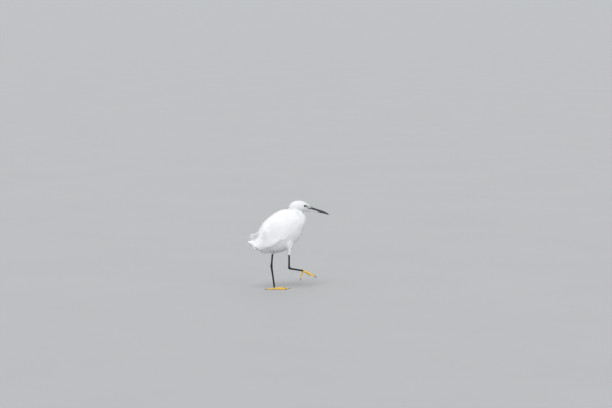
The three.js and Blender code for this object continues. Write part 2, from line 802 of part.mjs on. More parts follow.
const PLUME_CORE = { from: 0.28, to: 0.74, turn: 25, low: 0.9 };
const SCAPULARS = [
  {
    middle: { root: [0.29, 0, 2.8], tip: [0.6, 0, 7.2] },
    count: 2,
    first: { root: [0.3, 12, 2.4], tip: [0.58, 15, 6.0], wide: 17 },
    last: { root: [0.32, 19, 2.0], tip: [0.54, 32, 5.4], wide: 17 },
    form: SHORT_VANE,
  },
  {
    middle: { root: [0.45, 0, 2.6], tip: [0.86, 0, 6.4] },
    count: 2,
    first: { root: [0.46, 11, 2.2], tip: [0.83, 15, 5.2], wide: 16 },
    last: { root: [0.46, 19, 1.8], tip: [0.78, 33, 6.2], wide: 16 },
    form: SHORT_VANE,
  },
  {
    count: 1,
    first: { root: [0.6, 19, 1.8], tip: [1.02, 28, 3.6], wide: 14 },
    last: { root: [0.6, 19, 1.8], tip: [1.02, 28, 3.6], wide: 14 },
    form: SHORT_VANE,
  },
];
const LONG_PLUMES = {
  bundle: 7,
  spread: 18, // degrees to each side at the root
  tip: [-115, 203],
  tipSpread: 13, // to each side
  wisps: [
    [-107, -4, 231],
    [-113, 4, 221],
    [-97, 9, 225],
  ],
  root: 0.68,
  rise: 0.98, // where along the trunk a plume leaves the back
  wide: 4.4,
};

function longPlume(turn, tip, layer) {
  const angle = THREE.MathUtils.degToRad(turn);
  const lift = 1.5 + layer * (FEATHER_THICK + GAP);
  const path = new THREE.QuadraticBezierCurve3(
    surfacePoint(TRUNK, LONG_PLUMES.root, angle, lift),
    surfacePoint(TRUNK, LONG_PLUMES.rise, angle, lift + 3 + Math.max(tip.z - 210, 0) * 0.3),
    tip,
  );
  const up = new THREE.Vector3(-0.35, Math.sin(angle), 1);
  return vaneOf(
    PLUME_VANE.map(([t, share]) => {
      const ahead = path.getTangent(t);
      const normal = up.clone().addScaledVector(ahead, -up.dot(ahead)).normalize();
      return { at: path.getPoint(t), ahead, normal, wide: LONG_PLUMES.wide * share, tilt: 0, curve: 40 };
    }),
  );
}

const plumeCore = shellOf({
  from: PLUME_CORE.from,
  to: PLUME_CORE.to,
  along: 8,
  across: 5,
  turns: () => [-PLUME_CORE.turn, PLUME_CORE.turn],
  outer: (u, v) => PLUME_CORE.low + 0.7 + 1.8 * Math.sqrt(4 * v * (1 - v)),
  inner: () => PLUME_CORE.low,
  side: 1,
});
const sideScapulars = [LEFT, RIGHT].flatMap((side) =>
  SCAPULARS.flatMap((tier, i) =>
    tierOf({ ...tier, tilt: 0.16, curve: 45, side, seed: i + 5 }),
  ),
);
const middleScapulars = SCAPULARS.filter((tier) => tier.middle).map((tier) =>
  trunkVane({ ...tier.middle, wide: tier.first.wide, tilt: 0, curve: 38, side: 1, form: tier.form }),
);
const bundle = Array.from({ length: LONG_PLUMES.bundle }, (_, i) => {
  const s = (2 * i) / (LONG_PLUMES.bundle - 1) - 1;
  const [x, z] = LONG_PLUMES.tip;
  const tip = new THREE.Vector3(x + 9 * s * s, LONG_PLUMES.tipSpread * s, z - 3 * s * s);
  return longPlume(LONG_PLUMES.spread * s, tip, i % 2);
});
const wisps = LONG_PLUMES.wisps.map((tip) => longPlume(tip[1], new THREE.Vector3(...tip), 2));
const plumes = joined([plumeCore, ...sideScapulars, ...middleScapulars, ...bundle, ...wisps]);
place("back_plumes", plumes.subtract(torsoRoom), PLUMAGE);

export default bird;
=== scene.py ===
# The looks of a little egret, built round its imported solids. Metres, in the same frame as the solids:
# +X is the way the bird faces, +Y is its left side, +Z is up.

import math

import bpy
import numpy as np
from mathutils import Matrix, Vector
from mathutils.bvhtree import BVHTree
from mathutils.kdtree import KDTree
from numpy.linalg import norm


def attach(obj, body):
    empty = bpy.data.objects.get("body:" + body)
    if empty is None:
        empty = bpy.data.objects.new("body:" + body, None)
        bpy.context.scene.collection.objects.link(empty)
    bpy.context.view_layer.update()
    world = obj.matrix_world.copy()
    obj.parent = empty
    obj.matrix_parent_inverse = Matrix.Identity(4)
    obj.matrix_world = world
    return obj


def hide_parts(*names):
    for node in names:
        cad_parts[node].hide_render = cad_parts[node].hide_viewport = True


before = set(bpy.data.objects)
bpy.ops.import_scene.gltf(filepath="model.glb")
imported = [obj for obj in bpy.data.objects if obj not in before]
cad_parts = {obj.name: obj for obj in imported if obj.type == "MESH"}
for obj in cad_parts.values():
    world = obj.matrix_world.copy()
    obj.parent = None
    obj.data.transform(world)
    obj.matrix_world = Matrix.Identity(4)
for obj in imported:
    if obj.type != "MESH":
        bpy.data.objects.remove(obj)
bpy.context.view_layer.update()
rng = np.random.default_rng(11)

MM = 0.001
LEFT = 1
RIGHT = -1
SIDES = ((LEFT, "left"), (RIGHT, "right"))
TO_LEFT = np.array([0.0, 1.0, 0.0])
UPWARD = np.array([0.0, 0.0, 1.0])
PATCH = 0.003  # size of one feather's patch on the unwrap
SKIN_VOXEL = 1.5 * MM
TOE_VOXEL = 0.7 * MM
BODY_SPAN = (-0.1, 1.1)  # the stretch of the trunk that the unwrap of breast and belly covers
BACK_SPAN = (-0.1, 1.3)  # the same for wings and back
CHART_SLACK = 2.6 * MM  # how far a chart may lie off the coat and still carry feathers
LID_EDGE = 4.6 * MM  # no feather reaches nearer to the middle of the eye
MOST_BARE = 0.35  # no feather grows where the skin is barer
JITTER = 0.22  # how far a root strays from its place, as a share of the gap
SHARP_EDGE = 70  # degrees
SMOOTHING = 0.6  # how far a point moves towards its neighbours in each round
SKIN_ROUNDS, TOE_ROUNDS = 40, 5
LIE_SLACK = 3 * MM  # places of a chart farther than this from the coat give no direction
LIE_NEIGHBOURS = 10

# Sizes of the bird, in millimetres: place along the body, back, belly and half width.
TRUNK = [
    (-0.08, (87, 327), (108, 290), 24),
    (0.0, (79, 334), (113, 263), 33),
    (0.15, (57, 333), (118, 236), 41),
    (0.35, (21, 321), (96, 201.5), 47),
    (0.55, (-15, 298), (57.5, 172), 49),
    (0.75, (-44, 270), (13, 156), 45),
    (0.9, (-61, 242), (-27, 156), 37),
    (1.0, (-69, 226), (-50, 161), 31),
    (1.12, (-79, 211), (-63, 163), 26),
    (1.28, (-90, 195), (-77, 166), 22),
]
NECK = [
    (0.0, (84, 282), (111, 238), 34),
    (0.25, (86, 304), (129, 262), 35),
    (0.5, (80, 322), (134.5, 286), 31),
    (0.75, (66, 336), (129, 308), 25),
    (1.0, (61, 347), (114, 325), 16),
]
HEAD = [
    (0.0, (60, 344), (62, 325), 11),
    (0.14, (72, 356.5), (74, 317), 17),
    (0.3, (88, 365), (90, 315), 20),
    (0.47, (104, 366.5), (105, 316.5), 20.5),
    (0.63, (120, 364), (120, 319), 18),
    (0.78, (134, 357.5), (133, 320.5), 14),
    (0.9, (146, 350), (146, 321.5), 10),
    (1.0, (153, 345), (155, 322.5), 7.6),
]
CHIN = [((146, 0, 326), 4.2, 6.6), ((160, 0, 321.8), 2.2, 4.4), ((173, 0, 319.7), 0.8, 1.2)]
# Along the bill: culmen, mouth line, keel and half width
BILL = [
    (0.0, (146, 346.3), (143, 334.3), (142, 324.5), 7.4),
    (0.2, (165, 336.3), (162, 328), (160.5, 320.6), 5.6),
    (0.4, (182, 330.6), (180, 323), (178.5, 316.8), 4.4),
    (0.6, (200, 324.4), (198, 317.9), (197, 313), 3.6),
    (0.8, (216, 318.2), (214.5, 312.5), (213.7, 309), 2.8),
    (0.93, (228, 311.2), (227, 307.8), (226.2, 305.6), 1.7),
    (1.0, (234.5, 305.4), (233.6, 304.5), (232.4, 303.2), 0.6),
]
NOSTRIL = (166, 332.6)
NOSTRIL_HALF = (4.6, 0.8)
PALE_TO = (176, 197)  # where the pale horn of the lower half turns dark
THIGHS = {
    "left": [((10, 17, 196), 24), ((3, 16, 175), 17), ((-3, 15, 158), 7.6), ((-5, 14, 146), 3.9)],
    "right": [((46, -15, 214), 28), ((54, -23, 189), 19.5), ((55.5, -29.5, 165), 7.4),
              ((54, -30.5, 144), 3.9)],
}
ANKLES = {"left": (-11.5, 7, 95.6), "right": (53.5, -33, 89.5)}
HUBS = {"left": (0, 0, 4), "right": (127.5, 17, 71)}
# Toes: length, degrees from straight ahead on the ground, and radius at the root
TOES = [("inner", 46, -34, 3.4), ("middle", 60, 0, 3.5), ("outer", 53, 32, 3.4), ("hind", 33, 176, 3.3)]
TOE_TIP_RADIUS = 2.1
TOE_FLAT = 0.55
LEG_PLATE, TOE_PLATE = 2.3, 2.4  # length of one plate
# Toes of the lifted foot: which way each points, and how much it droops
RAISED_TOES = {
    "inner": ((0.72, 0.6, -0.39), 0.1),
    "middle": ((0.9, 0.26, -0.35), 0.06),
    "outer": ((0.93, -0.12, -0.42), 0.08),
    "hind": ((-0.3, 0.0, -0.94), -0.02),
}
EYE_AT = (127, 11.4, 345)
EYE_RADIUS = 5.0
# Rings of the eye, as angles from its axis: edge of the pupil, dark line round it, edge of the iris
PUPIL_EDGE = (0.7, 0.75)
PUPIL_LINE = (0.75, 0.8)
IRIS_EDGE = (0.86, 0.97)


# Small tools


def unit(v):
    return v / np.maximum(norm(v, axis=-1, keepdims=True), 1e-12)


def col(a):
    """Numbers made ready to multiply vectors."""
    return np.asarray(a, float)[..., None]


def xyz(x, y, z):
    return np.stack(np.broadcast_arrays(x, y, z), -1)


def between(ends, share):
    return ends[0] + (ends[1] - ends[0]) * share


def ease(x, low, high):
    t = np.clip((np.asarray(x, float) - low) / (high - low), 0, 1)
    return t * t * (3 - 2 * t)


def bell(x, width):
    return np.exp(-((x / width) ** 2))


def value(size, u, turn):
    return size(u, turn) if callable(size) else np.full(np.shape(u), float(size))


def ring_turns(count):
    return np.arange(count) / count * 2 * math.pi


def spline(knots, rows, u):
    """A smooth curve through one row of numbers at each knot."""
    last = len(knots) - 1
    i = np.clip(np.searchsorted(knots, u, side="right") - 1, 0, last - 1)
    before, after = np.maximum(i - 1, 0), np.minimum(i + 2, last)
    span = col(knots[i + 1] - knots[i])
    t = col(u - knots[i]) / span
    a, b = rows[i], rows[i + 1]
    slope_a = (b - rows[before]) / col(knots[i + 1] - knots[before]) * span
    slope_b = (rows[after] - a) / col(knots[after] - knots[i]) * span
    t2, t3 = t * t, t * t * t
    ends = (2 * t3 - 3 * t2 + 1) * a + (3 * t2 - 2 * t3) * b
    return ends + (t3 - 2 * t2 + t) * slope_a + (t3 - t2) * slope_b


class Loft:
    """A body through stations. Turn 0 is its back and half a turn its belly; lift is outward."""

    def __init__(self, stations, fold=0.0):
        self.u = np.array([s[0] for s in stations])
        self.size = np.array([[*s[1], *s[2], s[3]] for s in stations]) * MM
        self.fold = fold

    def sizes(self, u):
        return spline(self.u, self.size, u)

    def point(self, u, turn, lift=0.0, shrink=1.0):
        u, turn = np.broadcast_arrays(np.asarray(u, float), np.asarray(turn, float))
        s = self.sizes(u)
        top, low = xyz(s[..., 0], 0.0, s[..., 1]), xyz(s[..., 2], 0.0, s[..., 3])
        middle = (top + low) / 2
        deep = norm(top - middle, axis=-1)
        up = unit(top - middle)
        wide = s[..., 4] * (1 - self.fold * bell(np.abs(turn) - math.pi / 2, 0.3))
        c, sn = np.cos(turn), np.sin(turn)
        out = unit(TO_LEFT * col(sn / wide) + up * col(c / deep))
        return middle + (up * col(c * deep) + TO_LEFT * col(sn * wide)) * col(shrink) + out * col(lift)


def oval(middle, across, level, deep, wide, turn):
    return middle + across * col(np.cos(turn) * deep) + level * col(np.sin(turn) * wide)


class Limb:
    """A limb through points with two half sizes at each; turn 0 is its upper or front side."""

    def __init__(self, stations):
        self.at = np.array([s[0] for s in stations], float) * MM
        self.deep = np.array([s[1] for s in stations]) * MM
        self.wide = np.array([s[-1] for s in stations]) * MM
        self.u = np.linspace(0, 1, len(stations))

    def middle(self, u):
        return spline(self.u, self.at, np.clip(u, 0, 1))

    def point(self, u, turn):
        u, turn = np.broadcast_arrays(np.asarray(u, float), np.asarray(turn, float))
        ahead = unit(self.middle(u + 0.01) - self.middle(u - 0.01))
        across = unit(np.cross(TO_LEFT, ahead))
        deep, wide = (np.interp(u, self.u, size) for size in (self.deep, self.wide))
        return oval(self.middle(u), across, np.cross(ahead, across), deep, wide, turn)


trunk = Loft(TRUNK)
neck = Loft(NECK, fold=0.1)
head = Loft(HEAD)
chin = Limb(CHIN)
thighs = {name: Limb(stations) for name, stations in THIGHS.items()}


def trunk_normal(u, turn):
    return unit(trunk.point(u, turn, 1 * MM) - trunk.point(u, turn))


# Materials


class Paint:
    """A material in the making: its methods add nodes and give back what comes out of them."""

    def __init__(self, name):
        self.material = bpy.data.materials.new(name)
        self.material.use_nodes = True
        self.nodes = self.material.node_tree.nodes

    def plug(self, node, inputs):
        for key, source in inputs.items():
            if isinstance(source, bpy.types.NodeSocket):
                self.material.node_tree.links.new(source, node.inputs[key])
            else:
                node.inputs[key].default_value = source

    def add(self, kind, inputs, output=0, **settings):
        node = self.nodes.new("ShaderNode" + kind)
        for key, setting in settings.items():
            setattr(node, key, setting)
        self.plug(node, inputs)
        return node.outputs[output]

    def math(self, operation, a, b=0.0):
        return self.add("Math", {0: a, 1: b}, operation=operation)

    def mix(self, share, a, b):
        a, b = ((*c, 1) if isinstance(c, tuple) else c for c in (a, b))
        return self.add("Mix", {0: share, 6: a, 7: b}, 2, data_type="RGBA")

    def mark(self, name):
        return self.add("Attribute", {}, "Fac", attribute_name=name)

    def place(self):
        return self.add("TexCoord", {}, "Object")

    def vane(self):
        return self.add("UVMap", {}, uv_map="vane")

    def noise(self, scale, detail=3.0, roughness=0.6):
        inputs = {"Vector": self.place(), "Scale": scale, "Detail": detail, "Roughness": roughness}
        return self.add("TexNoise", inputs, "Fac")

    def ramp(self, source, low, high):
        return self.add("MapRange", {"Value": source, "From Min": low, "From Max": high}, clamp=True)

    def done(self, colour, rough, height=None, strength=0.0, distance=0.0, extra=()):
        inputs = {"Base Color": colour, "Roughness": rough, **dict(extra)}
        if height is not None:
            bumps = {"Height": height, "Strength": strength, "Distance": distance}
            inputs["Normal"] = self.add("Bump", bumps)
        self.plug(self.nodes["Principled BSDF"], inputs)
        return self.material


WHITE = (0.93, 0.93, 0.925)
COOL = (0.82, 0.825, 0.835)


def plumage_material(name, barbs, barb_bump):
    """White plumage: barbs leave each shaft at a slant, and each feather has its own tone."""
    p = Paint(name)
    across = p.math("ABSOLUTE", p.add("SeparateXYZ", {0: p.vane()}))
    along = p.add("SeparateXYZ", {0: p.vane()}, 1)
    slant = p.math("SUBTRACT", along, p.math("MULTIPLY", across, 0.35))
    wander = p.math("MULTIPLY", p.noise(700.0), 5.0)
    line = p.math("SINE", p.math("ADD", p.math("MULTIPLY", slant, barbs), wander))
    cloud = p.math("MULTIPLY", p.noise(60.0), 0.35)
    shade = p.math("ADD", cloud, p.math("MULTIPLY", p.mark("tone"), 0.65))
    colour = p.mix(p.ramp(shade, 0.1, 0.95), WHITE, COOL)
    fine = p.mix(p.ramp(line, 0.2, 1.0), colour, p.mix(0.28, colour, COOL))
    soft = {"Specular IOR Level": 0.25, "Sheen Weight": 0.25, "Sheen Roughness": 0.5,
            "Subsurface Weight": 0.12, "Subsurface Radius": (1.0, 0.9, 0.8), "Subsurface Scale": 0.003}
    return p.done(fine, 0.82, line, barb_bump, 0.0002, soft)


def down_material():
    """Down under the feathers, and white skin."""
    p = Paint("down")
    fluff = p.noise(900.0, 6.0, 0.7)
    return p.done(p.mix(fluff, (0.72, 0.72, 0.72), (0.86, 0.86, 0.85)), 0.95, fluff, 0.8, 0.0006)


def bill_material():
    """Slate black horn with a bluish bloom, paler grey where the mark says, with fine lengthwise grain."""
    p = Paint("bill_horn")
    stretched = p.add("Mapping", {"Vector": p.place(), "Scale": (60.0, 900.0, 900.0)})
    grain = p.add("TexNoise", {"Vector": stretched, "Scale": 1.0, "Detail": 4.0}, "Fac")
    cloud = p.noise(120.0)
    dark = p.mix(cloud, (0.008, 0.011, 0.016), (0.022, 0.03, 0.042))
    pale = p.mix(cloud, (0.62, 0.63, 0.63), (0.78, 0.78, 0.76))
    colour = p.mix(p.mark("pale"), dark, pale)
    worn = p.mix(p.ramp(grain, 0.55, 0.8), colour, p.mix(0.08, colour, (0.3, 0.33, 0.36)))
    rough = p.add("MapRange", {"Value": grain, "To Min": 0.38, "To Max": 0.58})
    return p.done(worn, rough, grain, 0.25, 0.0002, {"Specular IOR Level": 0.3})


def leather_material(name, dark, light, spot, scale, rough):
    """Scaly skin of the legs and toes: small plates with dark joints, dusky where the mark says."""
    p = Paint(name)
    inputs = {"Vector": p.place(), "Scale": scale}
    edge = p.ramp(p.add("TexVoronoi", inputs, feature="DISTANCE_TO_EDGE"), 0.0, 0.12)
    body = p.mix(p.noise(160.0), dark, light)
    creased = p.mix(edge, p.mix(0.45, body, spot), body)
    creased = p.mix(p.math("MULTIPLY", p.mark("crease"), 0.55), creased, spot)
    colour = p.mix(p.mark("dusk"), creased, (0.02, 0.02, 0.022))
    return p.done(colour, rough, edge, 0.35, 0.0003, {"Specular IOR Level": 0.18})


def lore_material():
    """Bare skin between the eye and the bill: pale grey green, finely wrinkled; near black where the crease
    mark says, as painted shade in the crease of the mouth and at the lid edge next to the eye.
    """
    p = Paint("lore_skin")
    cloud = p.noise(350.0, 5.0)
    pale = p.mix(cloud, (0.3, 0.355, 0.37), (0.47, 0.51, 0.51))
    slate = p.mix(cloud, (0.022, 0.03, 0.04), (0.06, 0.075, 0.095))
    # painted shade: the crease mark takes the colour to near black in the crease of the mouth and at the
    # lid edge
    colour = p.mix(p.mark("crease"), p.mix(p.mark("dusk"), pale, slate), (0.03, 0.035, 0.04))
    return p.done(colour, 0.5, p.noise(1400.0), 0.4, 0.0002)


def eye_material():
    """The iris is pale yellow with darker spokes and rim, round a black pupil, under a wet clear coat."""
    p = Paint("iris")
    spokes = p.add("TexNoise", {"Vector": p.vane(), "Scale": 26.0, "Detail": 4.0}, "Fac")
    yellow = p.mix(spokes, (0.44, 0.28, 0.03), (0.68, 0.52, 0.12))
    rimmed = p.mix(p.mark("rim"), yellow, (0.05, 0.035, 0.02))
    colour = p.mix(p.mark("pupil"), rimmed, (0.002, 0.002, 0.003))
    wet = {"Coat Weight": 0.65, "Coat Roughness": 0.02, "Specular IOR Level": 0.12}
    return p.done(colour, 0.25, extra=wet)


def claw_material():
    """Dark horn, paler at the tip."""
    p = Paint("claw_horn")
    grain = p.noise(900.0)
    base = p.mix(grain, (0.016, 0.014, 0.012), (0.05, 0.042, 0.034))
    return p.done(p.mix(p.mark("pale"), base, (0.16, 0.13, 0.1)), 0.32, grain, 0.2, 0.0001)


def floor_material():
    p = Paint("floor_paint")
    return p.done(p.mix(p.noise(1.5), (0.34, 0.344, 0.348), (0.365, 0.369, 0.373)), 0.9)


SNOW = plumage_material("plumage", 260.0, 0.35)
FINE = plumage_material("fine_plumage", 40.0, 0.12)
DOWN = down_material()
HORN = bill_material()
LEG = leather_material("leg_scales", (0.006, 0.007, 0.009), (0.018, 0.02, 0.024), (0.05, 0.054, 0.06),
                       520.0, 0.6)
TOE = leather_material("toe_scales", (0.72, 0.42, 0.03), (0.93, 0.62, 0.08), (0.36, 0.2, 0.03), 480.0, 0.5)
LORE = lore_material()
EYE = eye_material()
CLAW = claw_material()


# Meshes


def mesh_of(name, points, quads, triangles=(), marks=(), maps=()):
    quads = np.asarray(quads, np.int32).reshape(-1, 4)
    triangles = np.asarray(triangles, np.int32).reshape(-1, 3)
    corners = np.concatenate([quads.ravel(), triangles.ravel()])
    starts = np.concatenate([np.arange(len(quads)) * 4, len(quads) * 4 + np.arange(len(triangles)) * 3])
    mesh = bpy.data.meshes.new(name)
    mesh.vertices.add(len(points))
    mesh.vertices.foreach_set("co", np.asarray(points, np.float32).ravel())
    mesh.loops.add(len(corners))
    mesh.loops.foreach_set("vertex_index", corners.astype(np.int32))
    mesh.polygons.add(len(starts))
    mesh.polygons.foreach_set("loop_start", starts.astype(np.int32))
    mesh.polygons.foreach_set("use_smooth", np.ones(len(starts), bool))
    for key, uv in dict(maps).items():
        layer = mesh.uv_layers.new(name=key)
        layer.data.foreach_set("uv", np.asarray(uv, np.float32)[corners].ravel())
    for key, values in dict(marks).items():
        data = mesh.attributes.new(key, "FLOAT", "POINT").data
        data.foreach_set("value", np.asarray(values, np.float32).ravel())
    mesh.update(calc_edges=True)
    return mesh


def linked(name, data):
    obj = bpy.data.objects.new(name, data)
    bpy.context.scene.collection.objects.link(obj)
    return obj


def piece(mesh, material, replaces=()):
    obj = linked(mesh.name, mesh)
    mesh.materials.append(material)
    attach(obj, "root")
    if replaces:
        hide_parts(*replaces)


def tube(rings):
    """Points, quads and end fans of a closed tube through rings that turn the same way."""
    rings = np.asarray(rings)
    count, around = rings.shape[:2]
    index = np.arange(count * around).reshape(count, around)
    turned = np.roll(index, -1, 1)
    quads = np.stack([index[:-1], turned[:-1], turned[1:], index[1:]], -1).reshape(-1, 4)
    points = np.concatenate([rings.reshape(-1, 3), rings[:1].mean(1), rings[-1:].mean(1)])
    hub, tip = (np.full(around, count * around + end) for end in (0, 1))
    fans = [np.stack([turned[0], index[0], hub], -1), np.stack([index[-1], turned[-1], tip], -1)]
    return points, quads, np.concatenate(fans)


def rings_along(path, deep, wide, turn, hint=TO_LEFT):
    """Rings square to a path."""
    ahead = unit(np.gradient(path, axis=0))
    across = unit(np.cross(hint, ahead))
    return oval(path[:, None], across[:, None], np.cross(ahead, across)[:, None], deep, wide, turn)


def body_rings(loft, start, end, around, along, rounding=(0.0, 0.0)):
    u = np.linspace(start, end, along + 1)
    near, far = (np.clip(gap / size, 0, 1) if size else np.ones_like(u)
                 for gap, size in zip((u - start, end - u), rounding))
    shrink = np.maximum(np.sqrt(1 - (1 - near) ** 2) * np.sqrt(1 - (1 - far) ** 2), 0.04)
    return loft.point(u[:, None], ring_turns(around)[None], 0.0, shrink[:, None])


def taken(items, key, size, kind):
    """One property of all items of a mesh, size numbers for each."""
    numbers = np.empty(len(items) * size, kind)
    items.foreach_get(key, numbers)
    return numbers.reshape(-1, size)


def fused(parts, voxel, rounds, keep=None):
    """One even skin round overlapping closed tubes, smoothed; returns its points, quads and normals."""
    starts = np.cumsum([0] + [len(p) for p, _, _ in parts])
    points = np.concatenate([p for p, _, _ in parts])
    quads = np.concatenate([q + start for (_, q, _), start in zip(parts, starts)])
    fans = np.concatenate([f + start for (_, _, f), start in zip(parts, starts)])
    obj = linked("fusing", mesh_of("fusing", points, quads, fans))
    remesh = obj.modifiers.new("even", "REMESH")
    remesh.mode = "VOXEL"
    remesh.voxel_size = voxel
    done = bpy.data.meshes.new_from_object(obj.evaluated_get(bpy.context.evaluated_depsgraph_get()))
    bpy.data.objects.remove(obj)
    points = taken(done.vertices, "co", 3, np.float32).astype(float)
    quads = taken(done.loops, "vertex_index", 1, np.int32).reshape(-1, 4)
    edges = taken(done.edges, "vertices", 2, np.int32)
    bpy.data.meshes.remove(done)
    weight = SMOOTHING * (np.ones(len(points)) if keep is None else 1 - keep(points))
    degree = np.bincount(edges.ravel(), minlength=len(points))[:, None]
    for _ in range(rounds):
        total = np.zeros_like(points)
        for axis in range(3):
            for one, other in ((0, 1), (1, 0)):
                total[:, axis] += np.bincount(edges[:, one], points[edges[:, other], axis], len(points))
        points += weight[:, None] * (total / np.maximum(degree, 1) - points)
    face = np.cross(points[quads[:, 2]] - points[quads[:, 0]], points[quads[:, 3]] - points[quads[:, 1]])
    normals = np.zeros_like(points)
    for corner in range(4):
        for axis in range(3):
            normals[:, axis] += np.bincount(quads[:, corner], face[:, axis], len(points))
    return points, quads, unit(normals)


# The skin: one form from the trunk to the chin and down the thighs

flesh = [
    tube(body_rings(trunk, -0.08, 1.06, 72, 80, (0.12, 0.2))),
    tube(body_rings(neck, 0.0, 1.0, 64, 50)),
    tube(body_rings(head, 0.0, 1.0, 64, 60, (0.12, 0.0))),
]
for limb, along, around in ((chin, 24, 32), (thighs["left"], 40, 48), (thighs["right"], 40, 48)):
    flesh.append(tube(limb.point(np.linspace(0, 1, along)[:, None], ring_turns(around)[None])))


def face_share(points):
    return ease(points[:, 0], 0.118, 0.14) * ease(points[:, 2], 0.3, 0.315)


def stiffness(points):
    """How much a place resists smoothing: most on the face, least where neck and breast meet."""
    x, z = points[:, 0], points[:, 2]
    breast = ease(x, 0.05, 0.08) * ease(z, 0.2, 0.215) * (1 - ease(z, 0.285, 0.305))
    return 1 - (1 - face_share(points)) * (0.25 + 0.75 * breast)


coat_points, coat_quads, coat_normals = fused(flesh, SKIN_VOXEL, SKIN_ROUNDS, stiffness)
coat = BVHTree.FromPolygons(coat_points.tolist(), coat_quads.tolist())


def on_coat(points):
    """The nearest places on the outside of the coat, with their normals and how far off they are."""
    found = [coat.find_nearest(p) for p in points.reshape(-1, 3).tolist()]
    place, normal = (np.array([f[k] for f in found]).reshape(points.shape) for k in (0, 1))
    return place, normal, np.array([f[3] for f in found]).reshape(points.shape[:-1])


def head_half_width(x, z):
    """Half width of the head at a place in the side view, both in metres."""
    u = np.interp(x / MM, [(s[1][0] + s[2][0]) / 2 for s in HEAD], [s[0] for s in HEAD])
    s = head.sizes(u)
    middle, deep = (s[..., 1] + s[..., 3]) / 2, (s[..., 1] - s[..., 3]) / 2
    return s[..., 4] * np.sqrt(np.clip(1 - ((z - middle) / deep) ** 2, 0, 1))


# The bare skin before the eye, in the side view: its places along X, and its upper and lower edges
LORE_X = np.array([129.5, 133, 138, 143, 148, 153, 157]) * MM
LORE_TOP = np.array([345.5, 347.2, 347.0, 346.0, 344.2, 342.2, 340.5]) * MM
LORE_LOW = np.array([343.5, 340.2, 336.0, 332.8, 331.2, 330.0, 329.0]) * MM


def gape_line(x):
    """Height of the line of the mouth under the lores."""
    return np.interp(x / MM, [120, 135, 150, 160], [334.6, 334.0, 332.6, 329.5]) * MM


def from_eye(x, z):
    return np.hypot(x - EYE_AT[0] * MM, z - EYE_AT[2] * MM)


def bare_share(points):
    """One in the middle of the lores and round the eye, nothing outside."""
    x, y, z = points[..., 0], np.abs(points[..., 1]), points[..., 2]
    inside = np.minimum(z - np.interp(x, LORE_X, LORE_LOW), np.interp(x, LORE_X, LORE_TOP) - z)
    lore = ease(inside, -0.4 * MM, 0.5 * MM) * ease(x, 0.1295, 0.131)
    return np.maximum(lore, 1 - ease(from_eye(x, z), 4.9 * MM, 5.5 * MM)) * ease(y, 3 * MM, 5 * MM)


def skin_depth(points):
    """How far the skin lies below the outside of the coat."""
    x, z = points[:, 0], points[:, 2]
    on_head = ease(x, 0.05, 0.07) * ease(z, 0.318, 0.33)
    on_legs = (1 - ease(z, 0.15, 0.175)) * (x > -0.02)
    socket = (1 - ease(from_eye(x, z), LID_EDGE, 7.0 * MM)) * (np.abs(points[:, 1]) > 8 * MM)
    return (2.4 - 1.3 * on_head - 0.4 * face_share(points) - 1.2 * on_legs + 4.0 * socket) * MM


skin_points = coat_points - coat_normals * col(skin_depth(coat_points))
spread = 0.5 + 0.45 * np.stack([skin_points[:, 0] / 0.2, skin_points[:, 2] / 0.2 - 1.1], -1)
piece(mesh_of("skin", skin_points, coat_quads, maps={"vane": spread}), DOWN,
      ["torso", "neck_lower", "neck_upper", "head", "thigh_left", "thigh_right"])


# Feathers as closed thin vanes


def lens_faces(rows, cols):
    """Faces of a closed vane: its upper and its lower side share the rim."""
    top = np.arange(rows * cols).reshape(rows, cols)
    under = top.copy()
    under[1:-1, 1:-1] = rows * cols + np.arange((rows - 2) * (cols - 2)).reshape(rows - 2, cols - 2)
    grids = ([g[:-1, :-1], g[1:, :-1], g[1:, 1:], g[:-1, 1:]] for g in (top, under))
    upper, lower = (np.stack(corners, -1).reshape(-1, 4) for corners in grids)
    return np.concatenate([upper, lower[:, ::-1]])


def shell(outer, inner, side):
    """A closed sheet between two grids that share their rim."""
    points = np.concatenate([outer.reshape(-1, 3), inner[1:-1, 1:-1].reshape(-1, 3)])
    return points, lens_faces(*outer.shape[:2])[:, ::side]


class Coat:
    """Gathers vanes for one piece of the coat."""

    def __init__(self):
        self.rows = []
        self.base = 0

    def add(self, middle, across, normal, half, cols, t, roots, camber, tilt=0.0, thick=0.2, ridge=0.1):
        """Vanes through middle points of shape (count, rows, 3), with half widths (count, rows)."""
        cols = np.asarray(cols, float)
        count, rows = half.shape
        out = half[..., None] * cols
        shaft = ridge * MM * bell(cols, 0.15)
        lift = tilt * out - out**2 / (2 * camber * MM) + shaft
        top = middle[:, :, None] + across[:, :, None] * col(out) + normal[:, :, None] * col(lift)
        depth = thick * MM * (1 - 0.5 * cols[1:-1] ** 2) + shaft[1:-1]
        low = top[:, 1:-1, 1:-1] - normal[:, 1:-1, None] * depth[:, None]
        points = np.concatenate([top.reshape(count, -1, 3), low.reshape(count, -1, 3)], 1)
        local = np.stack(np.broadcast_arrays(cols[None], t[:, None]), -1)
        local = np.concatenate([local.reshape(-1, 2), local[1:-1, 1:-1].reshape(-1, 2)])
        each = points.shape[1]
        offsets = self.base + np.arange(count) * each
        patch = (local * [0.5, 1.0] + [0.5, 0.0]) * PATCH
        quads = lens_faces(rows, len(cols))[None] + offsets[:, None, None]
        bake = roots[:, None] + patch[None]
        tone = np.repeat(rng.random(count), each)
        self.rows.append((points.reshape(-1, 3), quads.reshape(-1, 4), bake.reshape(-1, 2),
                          np.tile(local, (count, 1)), tone))
        self.base += count * each

    def piece(self, name, material=SNOW, replaces=()):
        points, quads, bake, vane, tone = (np.concatenate(column) for column in zip(*self.rows))
        mesh = mesh_of(name, points, quads, marks={"tone": tone}, maps={"OFBake": bake, "vane": vane})
        mesh.set_sharp_from_angle(angle=math.radians(SHARP_EDGE))
        piece(mesh, material, replaces)


